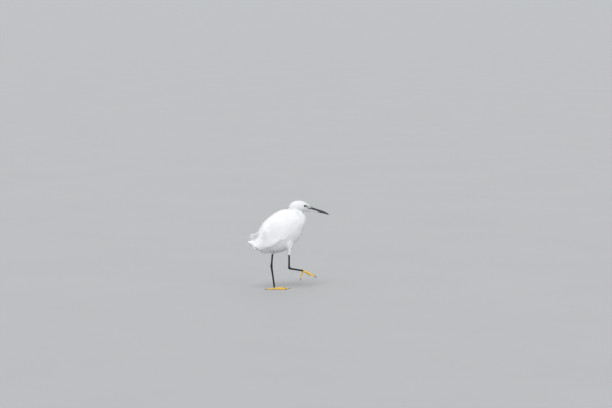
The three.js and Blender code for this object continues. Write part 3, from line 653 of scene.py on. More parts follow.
def unwrap(u, turn, start, end):
    """Place on the unwrap of a chart: along it and round it, kept a little inside the square."""
    across = (np.asarray(turn) / (2 * math.pi)) % 1.0
    along = np.clip((np.asarray(u) - start) / (end - start), 0, 1)
    return 0.01 + 0.97 * np.stack([across, along], -1)


# Lie of the coat: every chart gives a direction, and a place takes the mean of the nearest ones.
# Each chart has the stretch of it that counts, and whether its feathers run up or down it.
LIE_CHARTS = ((trunk, -0.05, 1.05, 1), (neck, 0.02, 0.98, -1), (head, 0.05, 1.0, -1), (chin, 0.0, 1.0, -1),
              (thighs["left"], 0.1, 1.0, 1), (thighs["right"], 0.1, 1.0, 1))


def lie_samples():
    rows = []
    for chart, start, end, sign in LIE_CHARTS:
        u, turn = (a.ravel() for a in np.meshgrid(np.linspace(start, end, 40), ring_turns(40)))
        place = chart.point(u, turn)
        rows.append(np.concatenate([place, unit(chart.point(u + 0.01 * sign, turn) - place)], 1))
    rows = np.concatenate(rows)
    return rows[on_coat(rows[:, :3])[2] < LIE_SLACK]


lie_rows = lie_samples()
lie_tree = KDTree(len(lie_rows))
for index, row in enumerate(lie_rows.tolist()):
    lie_tree.insert(row[:3], index)
lie_tree.balance()


def lie_at(points):
    picked = np.array([[hit[1] for hit in lie_tree.find_n(p, LIE_NEIGHBOURS)] for p in points.tolist()])
    return unit(lie_rows[picked, 3:].mean(1))


def lattice(chart, start, end, turns, gap):
    """Roots in staggered rows over a chart, gap apart both ways."""
    us, ts, u, row = [], [], start, 0
    low, high = (math.radians(t) for t in turns)
    ring = np.linspace(low, high, 41)
    while u < end:
        here = chart.point(u, ring)
        step = norm(chart.point(u + 0.01, ring) - here, axis=1).mean() / 0.01
        girth = norm(np.diff(here, axis=0), axis=1).sum()
        space = float(value(gap, u, 0.0)) * MM
        count = max(int(girth / space), 3)
        shift = 0.5 * (row % 2) + rng.uniform(-JITTER, JITTER, count)
        ts.append(low + (high - low) * (np.arange(count) + 0.25 + shift) / count)
        us.append(u + rng.uniform(-JITTER, JITTER, count) * space / step)
        u += space / step
        row += 1
    return np.clip(np.concatenate(us), start, end), np.concatenate(ts)


# Full and slim feathers: places along a feather, and its width there
FULL = np.array([0, 0.25, 0.55, 0.82, 1.0]), np.array([0.35, 0.8, 1.0, 0.82, 0.22])
SLIM = np.array([0, 0.38, 0.72, 1.0]), np.array([0.55, 1.0, 0.7, 0.05])


def tract(batch, chart, start, end, gap, length, half, tip, blades=1, fan=0.0, loose=0.0, turns=(0, 360),
          base=0.0, depth=1.2, skip=None, span=None, camber=30.0):
    """Feathers over part of a chart, following the lie of the coat; where a root has several blades,
    they are slim and fan out. Sizes are in mm, or rules of (u, turn)."""
    slim = blades > 1
    u, turn = lattice(chart, start, end, turns, gap)
    root, _, away = on_coat(chart.point(u, turn))
    keep = (away < CHART_SLACK) & (bare_share(root) < MOST_BARE)
    if skip is not None:
        keep &= ~skip(u, turn)
    u, turn, root = u[keep], turn[keep], root[keep]
    lie = lie_at(root)
    tips = root + lie * col(value(length, u, turn) * MM)
    off_eye = from_eye(tips[:, 0], tips[:, 2]) > LID_EDGE
    u, turn, root, lie = (np.repeat(a[off_eye], blades, 0) for a in (u, turn, root, lie))
    which = np.tile(np.arange(blades), int(off_eye.sum()))
    angle = np.radians(fan) * (which - (blades - 1) / 2) / max((blades - 1) / 2, 1)
    angle = angle + np.radians(loose) * rng.normal(size=len(u))
    reach = value(length, u, turn) * MM * rng.uniform(0.85, 1.12, len(u))
    t, width = SLIM if slim else FULL
    places, normals, ways, way = [root], [on_coat(root)[1]], [], lie
    for i in range(1, len(t)):
        way = unit(way - normals[-1] * (way * normals[-1]).sum(1, keepdims=True))
        if i == 1:
            way = way * col(np.cos(angle)) + np.cross(normals[-1], way) * col(np.sin(angle))
        ways.append(way)
        straight = places[-1] + way * col(reach * (t[i] - t[i - 1]))
        place, normal, _ = on_coat(straight)
        places.append(straight * 0.25 + place * 0.75)
        normals.append(unit(normals[-1] * 0.35 + normal * 0.65))
    middle, up, ahead = (np.stack(rows, 1) for rows in (places, normals, [*ways, way]))
    lift = np.interp(t, [0, 0.3, 1.0], [-1.0, 0.0, 0.0])[None] * value(depth, u, turn)[:, None]
    stand = value(tip, u, turn) * rng.uniform(0.6, 1.35, len(u))
    lift = lift + stand[:, None] * t[None] ** 1.4 + value(base, u, turn)[:, None]
    halves = value(half, u, turn)[:, None] * width[None] * MM * rng.uniform(0.85, 1.15, (len(u), 1))
    tilt = rng.normal(0, 0.05, (len(u), 1, 1))
    place = unwrap(u, turn, *(span or (start, end)))
    middle = middle + up * col(lift * MM)
    batch.add(middle, unit(np.cross(up, ahead)), up, halves, [-1, 0, 1], t, place, camber, tilt=tilt,
              thick=0.12, ridge=0.08 if slim else 0.06)


def blade_curve(points, count):
    """Points at even steps along Bezier curves of three points each; points has shape (n, 3, 3)."""
    t = np.linspace(0, 1, count)[None, :, None]
    a, b, c = (points[:, i : i + 1] for i in range(3))
    return (1 - t) ** 2 * a + 2 * t * (1 - t) * b + t**2 * c


def strands(batch, curves, half, roots, up=UPWARD, shape=(0.7, 1.0, 0.8, 0.5, 0.08), thick=0.12):
    """Thin blades along curves of shape (n, rows, 3)."""
    ahead = unit(np.gradient(curves, axis=1))
    across = unit(np.cross(np.broadcast_to(up, ahead.shape), ahead))
    t = np.linspace(0, 1, curves.shape[1])
    width = np.interp(t, np.linspace(0, 1, len(shape)), shape)
    half = np.broadcast_to(np.asarray(half, float), (len(curves),))[:, None] * width[None] * MM
    batch.add(curves, across, np.cross(ahead, across), half, [-1, 0, 1], t, roots, 20.0, thick=thick,
              ridge=0.06)


def bowed(batch, root, knee, tip, rows, half, place, **form):
    """Thin blades in a bow from each root towards its knee and on to its tip."""
    strands(batch, blade_curve(np.stack([root, knee, tip], 1), rows), half, place, **form)


def side_degrees(turn):
    """How far round from the back a place lies, the same on both sides."""
    return np.abs(np.degrees(((turn + math.pi) % (2 * math.pi)) - math.pi))


def covered(u, turn):
    """Under the folded wings, where no feather of the trunk shows."""
    side = side_degrees(turn)
    return (u > 0.2) & (u < 0.97) & (side > 52) & (side < 84 + 14 * ease(u, 0.2, 0.5))


def trunk_length(u, turn):
    return 13 + 7 * ease(u, 0.2, 0.9)


# Each tract is given by its stretch of the chart, the gap between roots, and the feathers' length, half
# width and lift at the tip. Slim blades add how many share a root, their fan and how far they stray, in
# degrees, and the turns that they cover where that isn't all round.
body = {"skip": covered, "span": BODY_SPAN}

breast = Coat()
tract(breast, trunk, -0.06, 0.42, 4.6, trunk_length, 3.6, 0.5, **body)
tract(breast, trunk, -0.06, 0.42, 4.0, lambda u, t: 0.95 * trunk_length(u, t), 0.85, 0.9, 3, 13, 4, **body)
breast.piece("coat_breast")

belly, belly_fine = Coat(), Coat()
tract(belly, trunk, 0.38, 1.03, 4.8, trunk_length, 3.8, 0.6, **body)
tract(belly_fine, trunk, 0.38, 1.03, 4.2, lambda u, t: 1.05 * trunk_length(u, t), 0.85, 1.5, 3, 16, 6,
      **body)
tract(belly, trunk, 0.84, 0.97, 4.6, 22, 1.1, 4.0, 3, 15, 8, (130, 230), span=BODY_SPAN)
tract(belly, trunk, 0.42, 0.9, 5.0, 19, 1.0, 4.0, 3, 16, 10, (140, 220), span=BODY_SPAN)


def vent_fluff(batch, count):
    """Loose feathers that hang down and back under the tail, to a blunt corner."""
    u = rng.uniform(0.76, 0.97, count)
    turn = np.radians(180 + rng.uniform(-50, 50, count))
    root = trunk.point(u, turn, -0.5 * MM)
    fall = (2.0 + 7.5 * ease(-root[:, 0], 0.008, 0.034)) * rng.uniform(0.6, 1.1, count) * MM
    back = rng.uniform(8, 14, count) * MM
    outward = 0.12 * root[:, 1]
    knee = root + xyz(-0.35 * back, 0.3 * outward, -0.65 * fall)
    tip = root + xyz(-back, outward, -fall)
    facing = unit(xyz(0.0, np.sign(root[:, 1]) + rng.normal(0, 0.8, count), -1.0))
    bowed(batch, root, knee, tip, 6, rng.uniform(0.9, 1.5, count), unwrap(u, turn, *BODY_SPAN),
          up=facing[:, None], thick=0.3)


vent_fluff(belly, 700)
belly.piece("coat_belly")
belly_fine.piece("coat_belly_fine")

throat = Coat()
tract(throat, neck, 0.02, 1.0, 3.5, lambda u, t: 12 - 4 * u, 2.6, 0.4)
tract(throat, neck, 0.02, 1.0, 3.0, lambda u, t: 13 - 5 * u, 0.6, 0.8, 3, 11, 4)
throat.piece("coat_neck")


def shrinking(large, loss, start):
    """A size on the head: large behind and smaller by the loss at the bill."""
    return lambda u, turn: large - loss * ease(u, start, 0.95)


head_length = shrinking(7.5, 5.0, 0.3)
head_half = shrinking(1.55, 0.95, 0.3)
crown, crown_fine = Coat(), Coat()
tract(crown, head, 0.03, 1.01, shrinking(2.3, 1.0, 0.35), head_length, head_half, 0.25, depth=0.7,
      camber=18)
tract(crown_fine, head, 0.03, 1.01, shrinking(2.0, 0.85, 0.35), head_length,
      lambda u, t: 0.32 * head_half(u, t), 0.45, 2, 8, 6, depth=0.6, camber=18)
tract(crown, chin, 0.05, 0.98, 1.3, 3.2, 0.55, 0.2, loose=5, depth=0.4, camber=12, span=(-0.2, 1.0))
crown.piece("coat_head")
crown_fine.piece("coat_head_fine")

thigh_coat = Coat()
for chart in thighs.values():
    tract(thigh_coat, chart, 0.3, 0.97, 3.8, lambda u, t: 13 - 4 * u, 2.6, 0.5, span=(0, 1.1))
    tract(thigh_coat, chart, 0.3, 0.99, 3.1, lambda u, t: 14 - 4 * u, 0.7, 1.0, 3, 15, 7, span=(0, 1.1))
thigh_coat.piece("coat_thighs")


# Large feathers laid over the trunk

BROAD = [-1, -0.62, -0.24, -0.07, 0, 0.07, 0.24, 0.62, 1]
FLAT = [-1, -0.5, 0, 0.5, 1]
FORMS = {
    "long": ([0, 0.2, 0.4, 0.88, 1], [0.3, 0.7, 0.92, 0.97, 0.75]),
    "short": ([0, 0.3, 0.6, 0.9, 1], [0.35, 0.8, 1, 0.9, 0.7]),
    "lance": ([0, 0.3, 0.6, 0.9, 1], [0.4, 0.9, 1, 0.55, 0.2]),
    "tail": ([0, 0.86, 1], [0.45, 1, 0.9]),
}
TIP_SCATTER = 0.012


def vane_rows(count):
    return 1 - (1 - np.linspace(0, 1, count)) ** 1.25


def outline_of(t, form):
    """Half width along a vane of this form, rounded off at its tip."""
    end = np.clip((t - 0.86) / 0.14, 0, 1)
    return np.interp(t, *FORMS[form]) * np.sqrt(np.maximum(1 - end**2, 0.006))


def laid_tier(batch, side, count, first, last, wide, tilt, form="long", rows=16, cols=BROAD, camber=100.0,
              thick=0.3, ridge=0.22, notch=0.07, surface=None, sweep=1.0):
    """A tier of vanes, evenly from the first to the last. Each of the two has the root and the tip of its
    vane, as [u, turn in degrees, lift in mm]; wide has their widths in mm."""
    share = np.linspace(0, 1, count)[:, None]
    root, tip = (np.array(a) * (1 - share) + np.array(b) * share for a, b in zip(first, last))
    tip[:, 0] += TIP_SCATTER * rng.uniform(-1, 1, count)
    t = vane_rows(rows)
    run, swing = tip[:, :1] - root[:, :1], tip[:, 1:2] - root[:, 1:2]
    u = root[:, :1] + run * t
    turn = np.radians(root[:, 1:2] + swing * t**sweep) * side
    lift = root[:, 2:] + (tip[:, 2:] - root[:, 2:]) * np.minimum(t / 0.6, 1)
    lift = (lift + (surface(u, turn) if surface else 0.0)) * MM
    normal = trunk_normal(u, turn)
    du, dturn = run * 0.02, np.radians(swing) * 0.02 * side * sweep * t ** (sweep - 1)
    ahead = unit(trunk.point(u + du, turn + dturn, lift) - trunk.point(u - du, turn - dturn, lift))
    widths = (wide[0] * (1 - share) + wide[1] * share) / 2 * MM
    ragged = 1 - notch * rng.random((count, rows)) * (rng.random((count, rows)) > 0.55) * (t > 0.15)
    half = widths * outline_of(t, form) * ragged
    place = unwrap(root[:, 0], np.radians(root[:, 1]) * side, *BACK_SPAN)
    batch.add(trunk.point(u, turn, lift), unit(np.cross(normal, ahead)), normal, half, cols, t, place,
              camber, tilt=-tilt * side, thick=thick, ridge=ridge)


def wing_reach(u):
    """Upper edge of the folded wing, in degrees from the back, and how many degrees it covers."""
    return 34 + 4 * u, 59 + 8 * u


def wing_cover(u, turn):
    """Height of the coverts over the trunk, in mm: it rises softly from the breast, and in front it sinks
    into the flank."""
    top, deep = wing_reach(u)
    front = ease(u, -0.06, 0.24)
    rear = 1 - 0.42 * ease(u, 0.45, 0.95)
    lower = ease(np.clip((side_degrees(turn) - top) / deep, 0, 1), 0.55, 1.0)
    edge = 1 - 0.93 * lower * (1 - ease(u, 0.42, 0.8))
    return 0.2 + 4.9 * front * rear * edge


WING_FROM, WING_TO = 0.08, 0.6


def wing_pad(side):
    """The fleshy arm and hand under the coverts, as a closed shell."""
    u, v = np.meshgrid(np.linspace(WING_FROM, WING_TO, 44), np.linspace(0, 1, 32), indexing="ij")
    top, deep = wing_reach(u)
    turn = np.radians(top + deep * v) * side
    rim = np.clip(np.minimum(np.minimum(v, 1 - v) * 12, (WING_TO - u) * 30), 0, 1)
    outer = trunk.point(u, turn, (wing_cover(u, turn) - 1.6) * rim * MM)
    return shell(outer, trunk.point(u, turn, -1.5 * MM), side)


def haze_base(u, turn):
    """The haze lies on the coverts and comes down to the flank below the wing."""
    return wing_cover(u, turn) * (1 - 0.8 * ease(side_degrees(turn), 95, 110))


# Rows of coverts, from the bend of the wing back: where their tips lie along the wing, and for the first
# and the last row how far a feather reaches, how many there are and how wide they are
COVERT_TIPS = [0.05, 0.075, 0.1, 0.13, 0.165, 0.2, 0.24, 0.285, 0.33, 0.38, 0.435, 0.495, 0.56, 0.63, 0.71,
               0.8]
COVERT_REACH = (0.085, 0.34)
COVERT_COUNT = (17, 11)
COVERT_WIDE = (7.5, 15.5)


for side, name in SIDES:
    piece(mesh_of("wing_skin_" + name, *wing_pad(side)), DOWN, ["wing_" + name])

    flight = Coat()
    laid_tier(flight, side, 9, ([0.6, 84, 1.0], [1.34, 62, 3.6]), ([0.64, 94, -2.0], [1.2, 131, 5.6]),
              (11, 11), 0.06, rows=24, sweep=2.0)
    laid_tier(flight, side, 14, ([0.45, 38, 1.9], [1.26, 50, 3.4]), ([0.5, 91, -0.5], [0.93, 107, 6.0]),
              (16, 13), 0.06, rows=22)
    laid_tier(flight, side, 7, ([0.42, 24, 4.8], [1.18, 20, 5.6]), ([0.44, 50, 3.6], [1.16, 46, 5.2]),
              (14, 14), 0.05, rows=20, form="lance")
    flight.piece("flight_feathers_" + name)

    coverts = Coat()
    for k, tip in enumerate(COVERT_TIPS):
        share = k / (len(COVERT_TIPS) - 1)
        reach = between(COVERT_REACH, share**1.3)
        low_tip = 0.76 * tip
        shift = 1.6 * (k % 2)
        wide = between(COVERT_WIDE, share)
        big = share > 0.55
        laid_tier(coverts, side, round(between(COVERT_COUNT, share)),
                  ([tip - reach, 37 + shift, -1.3], [tip, 39 + shift, 0.25]),
                  ([low_tip - 0.85 * reach, 93 + shift, -1.2], [low_tip, 97 + 10 * low_tip + shift, 0.2]),
                  (wide, wide), 0.02, "short", rows=13 if big else 8, cols=BROAD if big else FLAT,
                  thick=0.2, ridge=0.14 if big else 0.08, surface=wing_cover)
    coverts.piece("wing_coverts_" + name)

    haze = Coat()
    tract(haze, trunk, -0.03, 0.8, 3.7, lambda u, t: 12 + 8 * ease(u, 0.1, 0.8), 0.75, 0.5, 3, 9, 4,
          (37, 118) if side == LEFT else (-118, -37), base=haze_base, depth=0.9, span=BACK_SPAN,
          skip=lambda u, t: (u > 0.6) & (side_degrees(t) > 86))
    haze.piece("wing_haze_" + name)


# Shoulder and back: rows of long narrow feathers over the top, the middle ones highest


def mantle_base(u, turn):
    return 2.6 * ease(u, 0.12, 0.34)


back = Coat()
tract(back, trunk, -0.04, 0.5, 5.0, 20, 3.8, 0.8, turns=(-56, 56), base=mantle_base, span=BACK_SPAN)
tract(back, trunk, -0.04, 0.5, 4.2, 22, 0.9, 1.2, 3, 10, 4, (-60, 60), base=mantle_base, span=BACK_SPAN)
tract(back, trunk, 0.7, 1.04, 4.6, 30, 3.2, 3.6, turns=(-75, 75), base=2.0, span=BACK_SPAN)
tract(back, trunk, 0.7, 1.04, 4.4, 33, 0.9, 5.0, 3, 9, 4, (-75, 75), base=2.6, span=BACK_SPAN)

# Rows of scapulars: root and tip along the body, lift of both, width, and how far round the row reaches
SCAPULARS = [
    (0.16, 0.42, -0.4, 4.4, 12, 40),
    (0.25, 0.54, 1.2, 5.2, 12, 40),
    (0.34, 0.66, 3.2, 5.4, 12, 39),
    (0.44, 0.78, 4.6, 6.8, 11, 37),
    (0.54, 0.9, 5.0, 8.0, 11, 35),
    (0.64, 1.02, 5.2, 8.6, 11, 33),
    (0.72, 1.1, 5.0, 8.6, 11, 32),
]
narrow = {"form": "lance", "rows": 14, "camber": 45, "thick": 0.2, "ridge": 0.15, "notch": 0.12}
for start, end, low, high, wide, reach in SCAPULARS:
    top = ([start + 0.012, 0, low], [end + 0.01, 0, high + 0.5])
    laid_tier(back, LEFT, 1, top, top, (wide + 3, wide + 3), 0.0, **narrow)
    for side in (LEFT, RIGHT):
        laid_tier(back, side, 6, ([start, 3, low], [end, 2, high]),
                  ([start + 0.02, reach - 6, low * 0.8], [end - 0.04, reach + 4, high * 0.85]),
                  (wide, wide), 0.04, **narrow)
back.piece("scapulars")


# Plumes over the tail


def plume(batch, root, rise, tip, half, barb, count, turn):
    """A long plume: a fine shaft with loose barbs that sweep along it and hang free near the tip."""
    rows = np.linspace(0, 1, 24)
    shaft = blade_curve(np.array([[root, rise, tip]]), len(rows))
    place = unwrap(np.array([0.68]), np.array([turn]), *BACK_SPAN)
    strands(batch, shaft, half, place, shape=(1.0, 0.9, 0.7, 0.45, 0.12), thick=0.3)
    t = np.linspace(0.12, 0.97, count)
    t = np.concatenate([t, t + 0.5 / count])
    side = np.repeat([1.0, -1.0], count)
    at = np.stack([np.interp(t, rows, line) for line in shaft[0].T], -1)
    ahead = unit(np.stack([np.interp(t, rows, np.gradient(line)) for line in shaft[0].T], -1))
    across = unit(np.cross(ahead, UPWARD))
    up = np.cross(across, ahead)
    long = barb * MM * (0.75 + 0.5 * rng.random(len(t))) * (1.05 - 0.35 * t)
    out = (0.1 + 0.14 * rng.random(len(t))) * side
    drop = rng.normal(0.0, 0.07, len(t))
    mid = at + ahead * col(long * 0.5) + across * col(long * out * 0.8) + up * col(long * drop * 0.4)
    end = at + ahead * col(long * 0.98) + across * col(long * out * 1.1) + up * col(long * (drop - 0.03))
    roll = unit(xyz(0.0, rng.normal(0, 1.0, len(t)), 1.0))
    bowed(batch, at, mid, end, 5, 0.5, np.repeat(place, len(t), 0), up=roll[:, None], thick=0.4)


def tail_cone(batch, count, start, lift, half, tip_x, tip_z):
    """Broad soft feathers from all round the rump, drawn together to a blunt point under the plumes."""
    turn = np.radians(np.arange(count) * 360 / count + rng.uniform(-4, 4, count))
    upper, lower = np.clip(np.cos(turn), 0, 1), np.clip(-np.cos(turn), 0, 1)
    u = start + rng.uniform(-0.03, 0.03, count)
    root = trunk.point(u, turn, lift * MM)
    knee = trunk.point(u + 0.15, turn, (lift + 2.0 - 3.0 * lower) * MM)
    reach = tip_x + 12 * lower + rng.uniform(-5, 4, count)
    tip = xyz(reach, 10 * np.sin(turn), tip_z + 5 * upper - 13 * lower) * MM
    bowed(batch, root, knee, tip, 10, half, unwrap(u, turn, *BACK_SPAN),
          up=trunk_normal(u, turn)[:, None], shape=(0.5, 0.9, 1.0, 0.85, 0.25), thick=0.3)


plumes = Coat()
for start, end in ((0.84, 1.1), (0.92, 1.18), (1.0, 1.25)):
    laid_tier(plumes, LEFT, 34, ([start, -180, -0.5], [end, -180, 0.0]),
              ([start, 170, -0.5], [end, 170, 0.0]), (11, 11), 0.0, "short", rows=10, cols=FLAT, camber=40,
              thick=0.2, ridge=0.1)
tail_cone(plumes, 60, 1.12, 0.2, 2.8, -110, 201)
tail_cone(plumes, 60, 1.04, 0.6, 2.8, -104, 202)
tail_cone(plumes, 54, 0.95, 1.6, 2.6, -98, 203)
for i, s in enumerate(np.linspace(-1, 1, 18)):
    angle = math.radians(20 * s)
    layer = 2.0 + 1.6 * (i % 3)
    root = trunk.point(0.78 + 0.05 * (i % 2), angle, layer * MM)
    rise = trunk.point(1.04, angle, (layer + 1.0) * MM)
    reach = rng.uniform(-5, 3)
    tip = np.array([-101 + 8 * s * s - reach, 12 * s, 205 - 4 * s * s + rng.uniform(-4, 4)]) * MM
    plume(plumes, root, rise, tip, 0.9, 26, 34, angle)
WISP_TIPS = [(-99, -4, 230), (-105, 4, 221), (-91, 9, 224), (-97, -10, 222), (-104, 0, 213), (-93, 3, 231)]
for x, y, z in WISP_TIPS:
    angle = math.radians(y * 1.6)
    rise = trunk.point(1.06, angle, (5 + max(z - 210, 0) * 0.35) * MM)
    plume(plumes, trunk.point(0.86, angle, 4 * MM), rise, np.array([x, y, z]) * MM, 0.55, 15, 20, angle)
for i, s in enumerate(np.linspace(-1, 1, 12)):
    angle = math.radians(34 * s)
    root = trunk.point(0.84 + 0.05 * (i % 2), angle, 1.5 * MM)
    tip = np.array([-100 + 8 * s * s + rng.uniform(-3, 3), 10 * s, 202 + rng.uniform(-4, 3)]) * MM
    plume(plumes, root, trunk.point(1.08, angle * 0.8, 3.0 * MM), tip, 0.9, 18, 26, angle)
plumes.piece("back_plumes_long", FINE, ["back_plumes"])


# Tail


def tail_fan(batch, count=12, rows=16):
    """The tail, nearly closed: the middle feathers lie on top of the outer ones."""
    s = 2 * np.arange(count) / (count - 1) - 1
    layer = np.floor(np.abs(s) * count / 2) + np.where(s > 0, 0.5, 0)
    tips = xyz(-108 + 14 * s * s, 19 * s, 195 - 12 * s * s - layer * 0.8) * MM
    roots = xyz(-54.0, 9 * s, 200 - 4 * s * s - layer * 0.6) * MM
    t = vane_rows(rows)
    middle = roots[:, None] + (tips - roots)[:, None] * t[None, :, None]
    ahead = unit(tips - roots)
    normal = unit(xyz(0.0, 1.3 * s, 1.0))
    normal = unit(normal - ahead * (normal * ahead).sum(1, keepdims=True))
    ahead, normal = (np.broadcast_to(a[:, None], middle.shape) for a in (ahead, normal))
    ragged = 1 - 0.06 * rng.random((count, rows)) * (rng.random((count, rows)) > 0.5)
    place = np.stack([0.3 + 0.4 * (s + 1) / 2, np.full(count, 0.5)], -1)
    half = 7 * MM * outline_of(t, "tail") * ragged
    batch.add(middle, np.cross(normal, ahead), normal, half, BROAD, t, place, 60.0, thick=0.3, ridge=0.2)


tail = Coat()
tail_fan(tail)
tail.piece("tail_feathers", SNOW, ["tail"])


# Bill

BILL_U = np.array([s[0] for s in BILL])
BILL_SIZES = np.array([[*s[1], *s[2], *s[3], s[4]] for s in BILL]) * MM


def mandible(upper):
    """One half of the bill: a ring runs over the culmen or the keel, and back along the mouth line."""
    along, arc, flat = 150, 36, 8
    u = np.linspace(-0.02, 1, along)
    s = spline(BILL_U, BILL_SIZES, u)
    mouth = xyz(s[:, 2], 0.0, s[:, 3] + (0.16 if upper else -0.16) * MM)
    up = (xyz(s[:, 0], 0.0, s[:, 1]) if upper else xyz(s[:, 4], 0.0, s[:, 5])) - mouth
    deep = np.maximum(norm(up, axis=1), 0.4 * MM)[:, None]
    wide = s[:, 6:]
    phi = np.linspace(-math.pi / 2, math.pi / 2, arc)
    squeeze = 1 - 0.1 * np.sin(2 * np.abs(phi)) ** 2
    y = np.sin(phi) * wide * squeeze
    if upper:
        fade = (ease(u, 0.1, 0.2) * (1 - ease(u, 0.55, 0.75)))[:, None]
        y = y * (1 - 0.09 * bell(np.abs(phi) - 0.95, 0.13) * fade)
    y = y * (1 + 0.035 * bell(np.abs(phi) - math.pi / 2, 0.12))
    y = np.concatenate([y, np.linspace(1, -1, flat + 2)[1:-1] * wide], 1)
    height = np.concatenate([np.cos(phi) ** 0.92 * deep * squeeze, np.zeros((along, flat))], 1)
    rings = mouth[:, None] + unit(up)[:, None] * col(height) + TO_LEFT * col(y)
    x, z = rings[..., 0], rings[..., 2]
    if upper:
        dx, dz = x - NOSTRIL[0] * MM, z - NOSTRIL[1] * MM
        off = (dx / (NOSTRIL_HALF[0] * MM)) ** 2 + ((dz + 0.34 * dx) / (NOSTRIL_HALF[1] * MM)) ** 2
        slit = bell(off, 1.0) * (np.arange(arc + flat) < arc)
        rings[..., 1] -= np.sign(rings[..., 1]) * slit * 1.1 * MM
        pale = 0.02 + 0.12 * (1 - ease(x, 0.15, 0.162))
        # Painted shade: the nostril groove is left without the pale tint, so it reads darker
        pale = pale * (1 - slit) * ease(np.abs(rings[..., 1]), 0.0, 3 * MM)
    else:
        pale = 1 - ease(x / MM, *PALE_TO)
    points, quads, fans = tube(rings)
    flip = slice(None, None, -1 if upper else 1)
    return points, quads[:, flip], fans[:, flip], {"pale": np.append(pale, [0, 0])}


for name in ("bill_upper", "bill_lower"):
    piece(mesh_of(name + "_horn", *mandible(name == "bill_upper")), HORN, [name])


# Lores, lids and eyes

HOLLOW_AT = (141, 340.5)  # of the lores, in mm
WET_BALL = 5.25  # radius that the edge of the lids follows, in mm


def lore_patch(side):
    """Bare skin from the eye to the bill with the crease of the mouth; its rim dips under the feathers."""
    a, b = np.meshgrid(np.linspace(0, 1, 72), np.linspace(0, 1, 40), indexing="ij")
    x = between((LORE_X[0], LORE_X[-1] - 0.6 * MM), a)
    low, top = np.interp(x, LORE_X, LORE_LOW) - 1.0 * MM, np.interp(x, LORE_X, LORE_TOP) + 1.0 * MM
    z = between((low, top), b)
    rim = np.clip(np.minimum(np.minimum(b, 1 - b) * (top - low), a * 26 * MM) / (1.2 * MM), 0, 1)
    # Painted shade: a thin band along the crease of the mouth, made near black through the crease mark
    crease = bell(z - gape_line(x), 0.35 * MM)
    wrinkle = np.sin(x / MM * 5.1 + z / MM * 2.3) * np.sin(z / MM * 6.3 - x / MM * 1.1)
    hollow = bell(x - HOLLOW_AT[0] * MM, 6 * MM) * bell(z - HOLLOW_AT[1] * MM, 3.5 * MM)
    front = ease(x, 0.1525, 0.1565)
    lift = -1.1 * (1 - rim) + 0.1 + 0.07 * wrinkle - 0.5 * crease - 0.7 * hollow - 1.6 * front
    y = head_half_width(x, z) + lift * MM
    low_share = 1 - ease(z - gape_line(x), 1.4 * MM, 4.6 * MM)
    by_eye = 1 - ease(x, 0.132, 0.143)
    dusk = np.clip(0.06 + 0.3 * ease(x, 0.15, 0.157) + 0.95 * low_share + 0.65 * by_eye, 0, 1)
    points, faces = shell(xyz(x, y * side, z), xyz(x, (y - 1.2 * MM) * side, z), side)
    blank = np.zeros(len(points) - a.size)
    return points, faces, (), {"crease": np.append(crease, blank), "dusk": np.append(dusk, blank)}


def lid_ring(side):
    """A ring of wrinkled skin from the edge of the opening, close on the eye, out to the feathers; its rows
    next to the eye are painted dark as shade where the lid meets the ball.
    """
    around, rows, painted_shade_rows = 64, 12, 8
    opening_x, opening_z, outer_x, outer_z = 4.4, 4.0, 6.0, 5.6
    angle = ring_turns(around)
    s = np.linspace(0, 1, rows)[:, None]
    x = EYE_AT[0] * MM + np.cos(angle) * between((opening_x, outer_x), s) * MM
    z = EYE_AT[2] * MM + np.sin(angle) * between((opening_z, outer_z), s) * MM
    ball = EYE_AT[1] * MM + np.sqrt(np.maximum((WET_BALL * MM) ** 2 - from_eye(x, z) ** 2, 0))
    roll = 0.35 * bell(s - 0.12, 0.1) + 0.06 * np.sin(s * 34) * (s > 0.2)
    y = between((ball, head_half_width(x, z)), ease(s, 0.05, 0.7)) + (roll - 0.75 * ease(s, 0.75, 1.0)) * MM
    upper, under = xyz(x, y * side, z), xyz(x, (y - 0.9 * MM) * side, z)
    rings = np.concatenate([upper, under[::-1]])
    index = np.arange(2 * rows * around).reshape(2 * rows, around)
    after = np.roll(index, -1, 0)
    quads = np.stack([index, np.roll(index, -1, 1), np.roll(after, -1, 1), after], -1).reshape(-1, 4)
    # Painted shade: the rows next to the eye are made near black through the crease mark
    dark = 0.92 * (np.arange(2 * rows) < painted_shade_rows)
    return rings.reshape(-1, 3), quads[:, ::-side], (), {"crease": np.repeat(dark, around)}


def eye_ball(side):
    """The ball with a slight bulge in front; its marks carry the rings of pupil and iris."""
    rows, around = 48, 56
    off = np.linspace(0.0, math.pi, rows)[1:-1]
    angle = ring_turns(around)
    radius = EYE_RADIUS * MM * (1 + 0.05 * bell(off, 0.55))
    axis = unit(np.array([0.12, side * 1.0, -0.02]))
    east = unit(np.cross(UPWARD, axis))
    ring = oval(0.0, east, np.cross(axis, east), 1.0, 1.0, angle)
    centre = np.array([EYE_AT[0], side * EYE_AT[1], EYE_AT[2]]) * MM
    rings = centre + radius[:, None, None] * oval(0.0, axis, ring[None], 1.0, 1.0, off[:, None])
    points, quads, fans = tube(rings)
    points[-2] = centre + axis * radius[0]
    points[-1] = centre - axis * radius[-1]
    each = np.repeat(off, around)
    pupil = np.append(1 - ease(each, *PUPIL_EDGE), [1, 0])
    rim = np.append(ease(each, *IRIS_EDGE) + 0.5 * (1 - ease(each, *PUPIL_LINE)), [0, 1])
    spoke = np.tile(np.stack([np.cos(angle), np.sin(angle)], -1), (rows - 2, 1))
    spoke = np.concatenate([spoke * (1 + 0.06 * each[:, None]), [[0, 0], [0, 0]]])
    return points, quads, fans, {"rim": np.clip(rim, 0, 1), "pupil": pupil}, {"vane": spoke}


for side, name in SIDES:
    piece(mesh_of("lores_" + name, *lore_patch(side)), LORE)
    piece(mesh_of("eyelids_" + name, *lid_ring(side)), LORE)
    piece(mesh_of("iris_" + name, *eye_ball(side)), EYE, ["eye_" + name])


# Legs and feet


